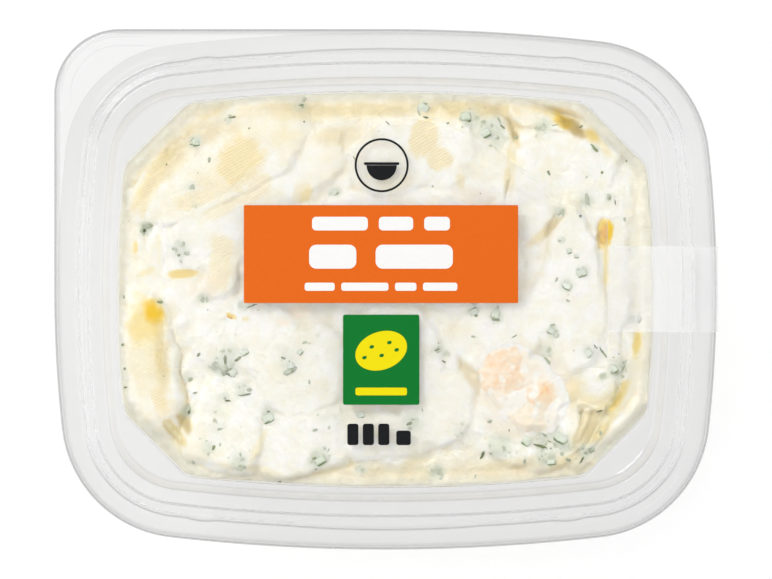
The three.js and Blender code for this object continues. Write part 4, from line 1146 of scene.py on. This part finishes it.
BANNER = (-33, -3.2, 30.9, 19.6)
BANNER_ROWS = [(15.3, 3.2, (13, 8, 6)), (7.6, 5.6, (11, 18)), (0.6, 1.9, (7, 11, 5, 8))]
STAMP = (-9.9, -26.9, 7.9, -5.9)
MARK_AT = (-0.9, 28.9)
MARK_RADIUS = 6.3
MARK_LINE = 0.5
MARK_STEPS = 96
BOWL_RADIUS = MARK_RADIUS * 0.56
BLOCKS_Y = -36.3
BLOCKS = [(-7.6, 2.6, 5), (-4, 2.6, 5), (-0.4, 2.6, 5), (4.2, 3.4, 3.4)]

# On the stamp: how far its motif's middle lies below the upper edge, and the places of the eyes from there
MOTIF_DROP = 8.4
EYES = ((-3.9, -1.6), (-2.2, 0.9), (0.1, -1.1), (1.9, 1.9), (3.6, 0.2))


def ellipse(cx, cy, rx, ry, turn=0.0, start=0.0, steps=64, closed=True):
    a = np.linspace(start, 2 * math.pi, steps + 1)[: steps if closed else steps + 1]
    x, y = turned(rx * np.cos(a), ry * np.sin(a), math.degrees(turn))
    return np.stack([cx + x, cy + y], 1)


def make_print():
    upon = PRINT + INK - 0.02
    field = [plate(rounded_box(*BANNER, 0.3), PRINT, INK)]
    flat_piece("banner_field", field, ORANGE_INK, "orange_print", "print_banner")
    bars = []
    for y, height, lengths in BANNER_ROWS:
        gap = height * 0.8
        x = (BANNER[0] + BANNER[2]) / 2 - (sum(lengths) + gap * (len(lengths) - 1)) / 2
        for bar in lengths:
            box = rounded_box(x, y - height / 2, x + bar, y + height / 2, height * 0.3)
            bars.append(plate(box, upon, INK / 2))
            x += bar + gap
    flat_piece("banner_bars", bars, WHITE_INK, "orange_print")

    field = [plate(rounded_box(*STAMP, 0.5), PRINT, INK)]
    flat_piece("stamp_field", field, GREEN_INK, "green_print", "print_stamp")
    middle, low_edge, level = (STAMP[0] + STAMP[2]) / 2, STAMP[1], STAMP[3] - MOTIF_DROP
    motif = [
        plate(ellipse(middle, level, 6.2, 4.4, 0.35), upon, INK / 2),
        plate(rounded_box(middle - 6, low_edge + 2.2, middle + 6, low_edge + 4, 0.5), upon, INK / 2),
    ]
    flat_piece("stamp_motif", motif, YELLOW_INK, "green_print")
    eyes = [
        plate(ellipse(middle + dx, level + dy, 0.55, 0.4, 0.35, steps=20), PRINT + INK + 0.05, INK / 2)
        for dx, dy in EYES
    ]
    flat_piece("stamp_eyes", eyes, GREEN_INK, "green_print")

    radii = (MARK_RADIUS, MARK_RADIUS - MARK_LINE)
    outer, inner = [ellipse(*MARK_AT, radius, radius, steps=MARK_STEPS) for radius in radii]
    rows = [(outer, PRINT), (outer, PRINT + INK), (inner, PRINT + INK), (inner, PRINT)]
    vertices = [[px, py, level] for points, level in rows for px, py in points]
    starts = [row * MARK_STEPS for row in (0, 1, 2, 3, 0)]
    faces = [quad for row, after in zip(starts, starts[1:]) for quad in strip(after, row, MARK_STEPS)]
    flat_piece("mark_ring", [(vertices, faces)], BLACK_INK, "black_print", "print_mark_ring")
    mx, my = MARK_AT
    half = ellipse(mx, my, BOWL_RADIUS, BOWL_RADIUS, start=math.pi, steps=32, closed=False)
    brim = rounded_box(mx - BOWL_RADIUS - 0.6, my + 0.05, mx + BOWL_RADIUS + 0.6, my + 0.7, 0.3)
    bowl = [plate(half, PRINT, INK), plate(brim, PRINT, INK)]
    flat_piece("mark_bowl", bowl, BLACK_INK, "black_print", "print_mark_bowl")
    blocks = [
        plate(rounded_box(x - width / 2, BLOCKS_Y, x + width / 2, BLOCKS_Y + height, 0.6), PRINT, INK)
        for x, width, height in BLOCKS
    ]
    names = [f"print_block_{k + 1}" for k in range(len(BLOCKS))]
    flat_piece("weight_blocks", blocks, BLACK_INK, "black_print", *names)


LABEL_LENGTH = 103.6
LABEL_WIDTH = 36.6
LABEL_CORNER = 1.6
LABEL_REACH = 40.1
BELLY_RADIUS = 47.2
BELLY_FILLET = 17.0
SEAL_WIDTH = 20.0
SEAL_PATH = [
    (25.7, LID_PANEL + FILM_GAP), (15.4, LID_PANEL + FILM_GAP), (CROWN_EDGE + 0.4, LID_CROWN + FILM_GAP),
    (CROWN_FOOT + 0.4, LID_CROWN + FILM_GAP), (STEP_FOOT + 0.4, LID_STEP + FILM_GAP),
    (STEP_FOOT - 0.9, LID_FLANGE + FILM_GAP), (1, LID_FLANGE + FILM_GAP), (0.1, LID_FLANGE - 0.1),
    (-0.1, LID_FLANGE - 0.8), (-0.1, LID_FLANGE - 1.9), (1.4, TUB_FLANGE - 1.9), (2.3, TUB_FLANGE - 1.9),
    (2.9, TUB_FLANGE - 1.0), (5.2, TUB_FLANGE - 1.0),
]


def label_outline():
    """The label's outline: a band with round bellies, open at the seal's root on +X."""
    x, y = LABEL_LENGTH / 2, LABEL_WIDTH / 2
    drop = LABEL_REACH - BELLY_RADIUS
    rise = y + BELLY_FILLET - drop
    out = math.sqrt((BELLY_RADIUS + BELLY_FILLET) ** 2 - rise**2)
    touch = math.atan2(rise, out)
    right = [
        [[x, SEAL_WIDTH / 2]],
        arc(x - LABEL_CORNER, y - LABEL_CORNER, LABEL_CORNER, 0, math.pi / 2, 6),
        arc(out, y + BELLY_FILLET, BELLY_FILLET, -math.pi / 2, touch - math.pi, 16),
        arc(0, drop, BELLY_RADIUS, touch, math.pi / 2, 28)[1:],
    ]
    right = np.concatenate(right)
    upper = np.concatenate([right, right[-2:0:-1] * [-1, 1]])
    return np.concatenate([upper, upper[::-1] * [1, -1]])


def make_label():
    """One film: the flat label and the seal that runs on over the rim and under the flange."""
    outline = label_outline()
    path = np.array(rounded(SEAL_PATH, 0.5))[1:, :2]
    tangent = np.gradient(path, axis=0)
    tangent /= np.linalg.norm(tangent, axis=1)[:, None]
    normal = np.stack([tangent[:, 1], -tangent[:, 0]], 1)
    vertices = []
    for offset in (0.0, FILM):
        vertices.extend([px, py, LID_PANEL + FILM_GAP + offset] for px, py in outline)
        for inset, level in path + normal * offset:
            vertices.extend([LENGTH / 2 - inset, side * SEAL_WIDTH / 2, level] for side in (1, -1))
    root = len(outline)
    layer = root + 2 * len(path)
    # The seal's edges, each pair with its left and right point, from its root on the label
    pairs = [(0, root - 1)] + [(root + 2 * k, root + 2 * k + 1) for k in range(len(path))]
    under = [tuple(range(root - 1, -1, -1))]
    over = [tuple(range(layer, layer + root))]
    sides = [(i, i + 1, layer + i + 1, layer + i) for i in range(root - 1)]
    for (left, right), (next_left, next_right) in zip(pairs, pairs[1:]):
        under.append((left, next_left, next_right, right))
        over.append((layer + right, layer + next_right, layer + next_left, layer + left))
        sides.append((left, layer + left, layer + next_left, next_left))
        sides.append((right, next_right, layer + next_right, layer + right))
    left, right = pairs[-1]
    end = (left, layer + left, layer + right, right)
    return flat_piece("label_film", [(vertices, under + over + sides + [end])], FILM_COAT, "film", "label")


# Stage

FLOOR_REACH = 4000
# The floor lies this far under the pack, so that the two don't share a plane
FLOOR_DROP = 0.2
# What the lights are aimed at (metres)
AIM = (0, 0, 0.03)
LENS = 135.0
SENSOR = 36.0


def make_stage():
    corners = [[x * FLOOR_REACH, y * FLOOR_REACH, 0] for x, y in ((-1, -1), (1, -1), (1, 1), (-1, 1))]
    floor = make_mesh("floor", corners, [(0, 1, 2, 3)])
    floor.location.z = -FLOOR_DROP * MM
    material, tree = new_material("white_light_table")
    glow = add(tree, "ShaderNodeEmission", {"Color": (1, 1, 1, 1), "Strength": 0.755})
    matt = add(tree, "ShaderNodeBsdfDiffuse", {"Color": (0.28, 0.28, 0.28, 1)})
    both = add(tree, "ShaderNodeAddShader", {0: glow, 1: matt})
    add(tree, "ShaderNodeOutputMaterial", {"Surface": both})
    floor.data.materials.append(material)


def make_camera():
    distance = LENS / SENSOR * PHOTO_SIZE[0] * MM_PER_PIXEL * MM
    data = bpy.data.cameras.new("camera")
    data.lens, data.sensor_width = LENS, SENSOR
    camera = bpy.data.objects.new("camera", data)
    bpy.context.scene.collection.objects.link(camera)
    middle = from_photo(PHOTO_SIZE[0] / 2, PHOTO_SIZE[1] / 2)
    camera.location = (middle[0] * MM, middle[1] * MM, LID_FLANGE * MM + distance)
    bpy.context.scene.camera = camera


def make_light(name, place, size, power):
    """A soft box aimed at the middle of the pack. Places and sizes are in metres, the power in watts."""
    data = bpy.data.lights.new(name, "AREA")
    data.shape = "RECTANGLE"
    data.size, data.size_y = size
    data.energy = power
    lamp = bpy.data.objects.new(name, data)
    lamp.location = place
    lamp.rotation_euler = (Vector(AIM) - Vector(place)).to_track_quat("-Z", "Y").to_euler()
    bpy.context.scene.collection.objects.link(lamp)


def make_lights():
    make_light("key", (-0.45, 0.55, 0.95), (0.45, 0.45), 3.3)
    make_light("left_box", (-0.75, 0.0, 0.45), (0.5, 0.9), 1.5)
    make_light("right_box", (0.75, 0.0, 0.45), (0.5, 0.9), 1.0)
    world = bpy.data.worlds.new("studio")
    world.use_nodes = True
    tree = world.node_tree
    tree.nodes.clear()
    coords = add(tree, "ShaderNodeTexCoord").outputs["Generated"]
    split = add(tree, "ShaderNodeSeparateXYZ", {"Vector": coords})
    across = add(tree, "ShaderNodeMath", {0: split.outputs["Y"]}, operation="ABSOLUTE")
    ends = {"Value": across, "From Min": 0.15, "From Max": 0.95, "To Min": 0.72, "To Max": 0.56}
    power = add(tree, "ShaderNodeMapRange", ends)
    sky = add(tree, "ShaderNodeBackground", {"Color": (1, 1, 1, 1), "Strength": power})
    add(tree, "ShaderNodeOutputWorld", {"Surface": sky})
    bpy.context.scene.world = world


# Herbs and cucumber by Geometry Nodes


def flake(name, length, width, thick, curl, points=7):
    """A bit of chopped leaf: a thin curved plate with an uneven edge."""
    draw = np.random.default_rng(len(name) * 7 + points)
    a = np.linspace(0, 2 * math.pi, points, endpoint=False)
    reach = draw.uniform(0.7, 1.0, points)
    x, y = np.cos(a) * reach * length / 2, np.sin(a) * reach * width / 2
    z = curl * (x / length) ** 2
    vertices = []
    for half, middle in ((thick / 2, 0.7), (-thick / 2, -0.3)):
        vertices += [[px, py, pz + half] for px, py, pz in zip(x, y, z)] + [[0, 0, thick * middle]]
    over, under = points, 2 * points + 1
    faces = []
    for i in range(points):
        j = (i + 1) % points
        faces.append((over, i, j))
        faces.append((under, points + 1 + j, points + 1 + i))
        faces.append((i, points + 1 + i, points + 1 + j, j))
    return make_mesh(name, vertices, faces)


def scatter_tree(name):
    """Geometry Nodes that scatter one small piece over a surface by a density attribute."""
    tree = bpy.data.node_groups.new(name, "GeometryNodeTree")
    panel = tree.interface
    panel.new_socket("Surface", in_out="INPUT", socket_type="NodeSocketGeometry")
    for label, kind in (
        ("Piece", "NodeSocketObject"),
        ("Per Square Metre", "NodeSocketFloat"),
        ("Smallest", "NodeSocketFloat"),
        ("Largest", "NodeSocketFloat"),
        ("Sink", "NodeSocketFloat"),
        ("Tip", "NodeSocketFloat"),
        ("Seed", "NodeSocketInt"),
        ("Finish", "NodeSocketMaterial"),
    ):
        panel.new_socket(label, in_out="INPUT", socket_type=kind)
    panel.new_socket("Pieces", in_out="OUTPUT", socket_type="NodeSocketGeometry")
    given = add(tree, "NodeGroupInput").outputs
    density = add(tree, "GeometryNodeInputNamedAttribute", {"Name": "herb_density"}, data_type="FLOAT")
    amount = add(tree, "ShaderNodeMath", {0: density, 1: given["Per Square Metre"]}, operation="MULTIPLY")
    spread = {"Mesh": given["Surface"], "Density": amount, "Seed": given["Seed"]}
    points = add(tree, "GeometryNodeDistributePointsOnFaces", spread, distribute_method="RANDOM")
    whole = {"Min": (0, 0, 0), "Max": (0.0, 0.0, 2 * math.pi), "Seed": given["Seed"]}
    turn = add(tree, "FunctionNodeRandomValue", whole, data_type="FLOAT_VECTOR")
    tip = add(tree, "FunctionNodeRandomValue", {2: -1.0, 3: 1.0, "Seed": 3}, data_type="FLOAT")
    tilt = add(tree, "ShaderNodeMath", {0: tip, 1: given["Tip"]}, operation="MULTIPLY")
    sizes = {2: given["Smallest"], 3: given["Largest"], "Seed": 8}
    size = add(tree, "FunctionNodeRandomValue", sizes, data_type="FLOAT")
    source = add(tree, "GeometryNodeObjectInfo", {"Object": given["Piece"]}).outputs["Geometry"]
    rows = {"Points": points, "Instance": source, "Rotation": points.outputs["Rotation"], "Scale": size}
    placed = add(tree, "GeometryNodeInstanceOnPoints", rows)
    tilted = add(tree, "ShaderNodeCombineXYZ", {"X": tilt})
    depth = add(tree, "ShaderNodeCombineXYZ", {"Z": given["Sink"]})
    for kind, name, value in (
        ("GeometryNodeRotateInstances", "Rotation", turn),
        ("GeometryNodeRotateInstances", "Rotation", tilted),
        ("GeometryNodeTranslateInstances", "Translation", depth),
    ):
        placed = add(tree, kind, {"Instances": placed, name: value, "Local Space": True})
    real = add(tree, "GeometryNodeRealizeInstances", {"Geometry": placed})
    done = add(tree, "GeometryNodeSetMaterial", {"Geometry": real, "Material": given["Finish"]})
    add(tree, "NodeGroupOutput", {"Pieces": done})
    return tree


def scatter(name, salad, tree, values):
    """Scatters a piece over the salad and returns the result as one plain mesh."""
    host = salad.copy()
    host.data = salad.data.copy()
    host.name = name
    bpy.context.scene.collection.objects.link(host)
    modifier = host.modifiers.new("scatter", "NODES")
    modifier.node_group = tree
    sockets = {item.name: item.identifier for item in tree.interface.items_tree if item.in_out == "INPUT"}
    for label, value in values.items():
        modifier[sockets[label]] = value
    bpy.context.view_layer.update()
    return bake(host)


def merge_pieces(name, pieces):
    bpy.ops.object.select_all(action="DESELECT")
    for piece in pieces:
        piece.select_set(True)
    bpy.context.view_layer.objects.active = pieces[0]
    bpy.ops.object.join()
    pieces[0].name = name
    pieces[0].data.name = name
    return pieces[0]


# Scattered herbs: name, length, width, thickness and curl (mm), points round the edge, least and most size,
# number to a square metre, how far they tip (radians), and whether dressing coats them
HERB_KINDS = [
    ("stalk_bit", 1.7, 0.32, 0.16, 0.3, 6, 0.4, 1.1, 0.12e5, 0.2, False),
    ("leaf_crumb", 0.42, 0.34, 0.12, 0.1, 5, 0.5, 1.2, 0.3e5, 0.5, False),
    ("leaf_bit", 1.5, 0.9, 0.12, 0.5, 9, 0.4, 1.15, 0.4e5, 0.2, True),
]
# How far they sink into the dressing (mm)
HERB_SINK = 0.02

# The larger herb bits: pixel, length and width (pixels), turn (degrees). Wide ones are coated leaf.
LEAF_WIDTH = 4
HERB_BITS = [
    (225, 362, 14, 3, 84), (229, 375, 12, 3, -30), (224, 371, 12, 8, 70), (245, 395, 14, 2, 2),
    (249, 390, 6, 4, -6), (238, 359, 8, 3, 30), (215, 366, 10, 6, 60), (290, 371, 14, 6, 24),
    (268, 419, 9, 8, 20), (198, 355, 5, 3, 40), (227, 401, 7, 2, -12), (189, 380, 6, 4, 20),
    (159, 302, 7, 3, -15), (206, 299, 3, 7, 0), (251, 306, 12, 2, 12), (242, 467, 9, 4, -30),
    (213, 448, 6, 3, 60), (188, 413, 6, 3, 50), (321, 464, 11, 4, 30), (314, 459, 5, 3, 10),
    (279, 483, 4, 2, 0), (249, 128, 2, 2, 0), (166, 164, 2, 2, 0), (192, 187, 6, 5, 25),
    (194, 143, 11, 2, 8), (232, 117, 8, 2, 0), (301, 104, 6, 2, 0), (304, 121, 2, 2, 0),
    (483, 456, 9, 3, 56), (541, 447, 15, 3, -24), (529, 442, 3, 8, 10), (563, 442, 12, 3, -16),
    (593, 451, 7, 5, 30), (583, 461, 9, 2, 50), (552, 464, 7, 5, 20), (525, 462, 3, 4, 0),
    (625, 367, 3, 15, -22), (616, 373, 10, 4, -10), (604, 353, 14, 2, -62), (596, 347, 6, 2, -60),
    (548, 361, 10, 3, -62), (556, 335, 8, 5, -24), (553, 325, 5, 2, 0), (496, 320, 9, 3, -10),
    (498, 308, 3, 6, 0), (475, 314, 9, 3, -58), (641, 319, 9, 5, 78), (490, 422, 5, 4, 0),
    (560, 422, 2, 2, 0), (600, 412, 8, 2, 8), (441, 479, 4, 4, 0), (424, 104, 8, 2, 22),
    (419, 112, 2, 8, 20), (426, 117, 6, 2, -20), (464, 119, 10, 4, -12), (500, 120, 2, 8, 24),
    (503, 126, 6, 2, -50), (582, 126, 5, 2, 30), (596, 149, 8, 3, -52), (593, 145, 5, 2, -40),
    (588, 199, 4, 12, 10), (610, 197, 4, 7, 12), (561, 212, 9, 4, 30), (581, 216, 3, 3, 0),
    (603, 172, 3, 3, 0), (626, 219, 3, 4, 0), (517, 137, 3, 4, 0), (433, 186, 2, 2, 0), (448, 123, 3, 2, 0),
    (628, 160, 2, 3, 0), (122, 297, 2, 4, 0), (122, 345, 4, 3, 0), (124, 369, 3, 3, 0), (124, 388, 4, 2, 0),
    (268, 412, 4, 2, 0), (148, 226, 8, 4, 10), (143, 230, 4, 3, 60), (182, 244, 7, 4, 30),
    (186, 253, 6, 5, -20), (178, 255, 4, 3, 0), (291, 372, 6, 2, 40), (283, 358, 6, 2, -30),
    (437, 350, 6, 2, 20), (444, 362, 5, 2, -40), (409, 424, 7, 3, 10),
]


def place_herbs(name, source, bits):
    """One shell for each of the larger herb bits, laid on the surface."""
    unit = vertex_places(source)
    unit = unit / np.abs(unit[:, :2]).max(0).tolist()[0]
    faces = [tuple(face.vertices) for face in source.data.polygons]
    draw = np.random.default_rng(5)
    shells = []
    for px, py, length, width, turn in bits:
        cx, cy = from_photo(px, py)
        half_length, half_width = length * MM_PER_PIXEL * 0.5, width * MM_PER_PIXEL * 0.55
        ragged = draw.uniform(0.75, 1.15, (len(unit), 1))
        p = unit[:, :2] * ragged * [half_length, half_width / np.abs(unit[:, 1]).max()]
        p[:, 1] += 0.12 * half_length * np.sin(2.4 * p[:, 0] / half_length)
        x, y = turned(p[:, 0], p[:, 1], turn)
        x, y = x + cx, y + cy
        rise = draw.uniform(-0.08, 0.12) * p[:, 0] / half_length
        z = salad_height(x, y) + np.sign(unit[:, 2]) * 0.07 + 0.03 + rise
        shells.append((np.stack([x, y, z], 1).tolist(), faces))
    return join_shells(name, shells)


def make_herbs(salad):
    """Fine dark stalks and crumbs, and wider leaf bits under a coat of dressing."""
    tree = scatter_tree("scatter_on_surface")
    finish = {False: HERB_GREEN, True: COATED_HERB}
    made = {False: [], True: []}
    for seed, (name, *form, points, least, most, share, tip, coated) in enumerate(HERB_KINDS):
        source = flake(name, *form, points)
        values = {"Piece": source, "Per Square Metre": share, "Smallest": least, "Largest": most}
        values |= {"Sink": -HERB_SINK * MM, "Tip": tip, "Seed": seed + 3, "Finish": finish[coated]}
        made[coated].append(scatter(name + "s", salad, tree, values))
        bpy.data.objects.remove(source)
    source = flake("herb_bit", 2.0, 1.6, 0.3, 0.0, 11)
    for name, coated in (("bare_bits", False), ("coated_bits", True)):
        bits = [bit for bit in HERB_BITS if (bit[3] >= LEAF_WIDTH) == coated]
        made[coated].append(place_herbs(name, source, bits))
    bpy.data.objects.remove(source)
    for name, coated in (("herb_flakes", False), ("coated_leaves", True)):
        herbs = merge_pieces(name, made[coated])
        shade(herbs, coated)
        settle(herbs, finish[coated], "salad")


# Cucumber dice: pixel, size (mm), turn (degrees), where the skin is: 0 below, 1 on the left
DICE = [
    (423, 109, 3.3, 62, 1), (466, 117, 3.0, 8, 0), (486, 133, 2.6, 30, 0), (569, 251, 1.6, 12, 0),
    (582, 273, 2.8, 20, 0), (567, 286, 2.5, -30, 0), (496, 314, 2.6, 70, 1), (475, 311, 1.9, -60, 1),
    (551, 331, 2.0, -30, 0), (589, 352, 2.0, -60, 1), (333, 193, 2.4, 40, 0), (268, 419, 2.8, 20, 0),
    (561, 439, 3.0, -30, 0), (527, 442, 2.2, 60, 1), (552, 463, 1.9, 10, 0), (614, 370, 2.4, 35, 0),
    (320, 461, 2.6, 30, 0), (232, 372, 2.0, -50, 1), (244, 352, 2.2, 30, 0), (290, 366, 2.2, 10, 0),
    (196, 142, 2.0, 5, 0), (577, 256, 1.4, 0, 0), (360, 416, 2.0, 25, 0), (300, 352, 1.8, 50, 0),
]
DIE_STEPS = 8


def make_cucumber():
    """Small dice with soft edges, pushed into the dressing so that a low corner or face shows."""
    draw = np.random.default_rng(77)
    shells, skins = [], []
    steps = np.linspace(-1, 1, DIE_STEPS + 1)
    for px, py, size, turn, left in DICE:
        cx, cy = from_photo(px, py)
        level = float(salad_height(np.array([cx]), np.array([cy]))[0])
        tilt = draw.uniform(-0.3, 0.3, 2)
        stretch = draw.uniform(0.8, 1.1, 3)
        vertices, faces = [], []
        for axis in range(3):
            for sign in (-1, 1):
                start = len(vertices)
                for a in steps:
                    for b in steps:
                        p = np.zeros(3)
                        p[axis], p[(axis + 1) % 3], p[(axis + 2) % 3] = sign, a * sign, b
                        vertices.append(p / np.linalg.norm(p, 4.5))
                for i in range(DIE_STEPS):
                    for j in range(DIE_STEPS):
                        first = start + i * (DIE_STEPS + 1) + j
                        second = first + DIE_STEPS + 1
                        faces.append((first, second, second + 1, first + 1))
        unit = np.array(vertices)
        rough = 1 + 0.13 * stain_noise(unit[:, 0] * 1.3 + px, unit[:, 1] * 1.3 + py, unit[:, 2] * 1.3)
        p = unit * rough[:, None] * stretch * [size / 2, size / 2 * 0.85, size * 0.4]
        side = -unit[:, 0] if left else -unit[:, 1]
        skins.append(smoothstep(0.45, 0.8, side + 0.25 * stain_noise(p[:, 0] / 0.9, p[:, 1] / 0.9, px)))
        p[:, 0], p[:, 1] = turned(p[:, 0], p[:, 1], turn)
        p[:, 2] += p[:, 0] * tilt[0] + p[:, 1] * tilt[1]
        shells.append(((p + [cx, cy, level - size * 0.2]).tolist(), faces))
    dice = join_shells("cucumber_dice", shells)
    set_attribute(dice, "skin", np.concatenate(skins))
    weld = dice.modifiers.new("weld", "WELD")
    weld.merge_threshold = 0.005 * MM
    bake(dice)
    shade(dice, True)
    return settle(dice, CUCUMBER, "salad")


def main():
    make_stage()
    make_camera()
    make_lights()
    make_tub()
    make_lid()
    make_label()
    make_print()
    salad = make_dressed_salad()
    paint_salad(salad)
    make_herbs(salad)
    settle(salad, DRESSING, "salad", "salad")
    make_egg()
    make_slivers()
    make_cucumber()
    bpy.context.scene.view_settings.view_transform = "Standard"


main()
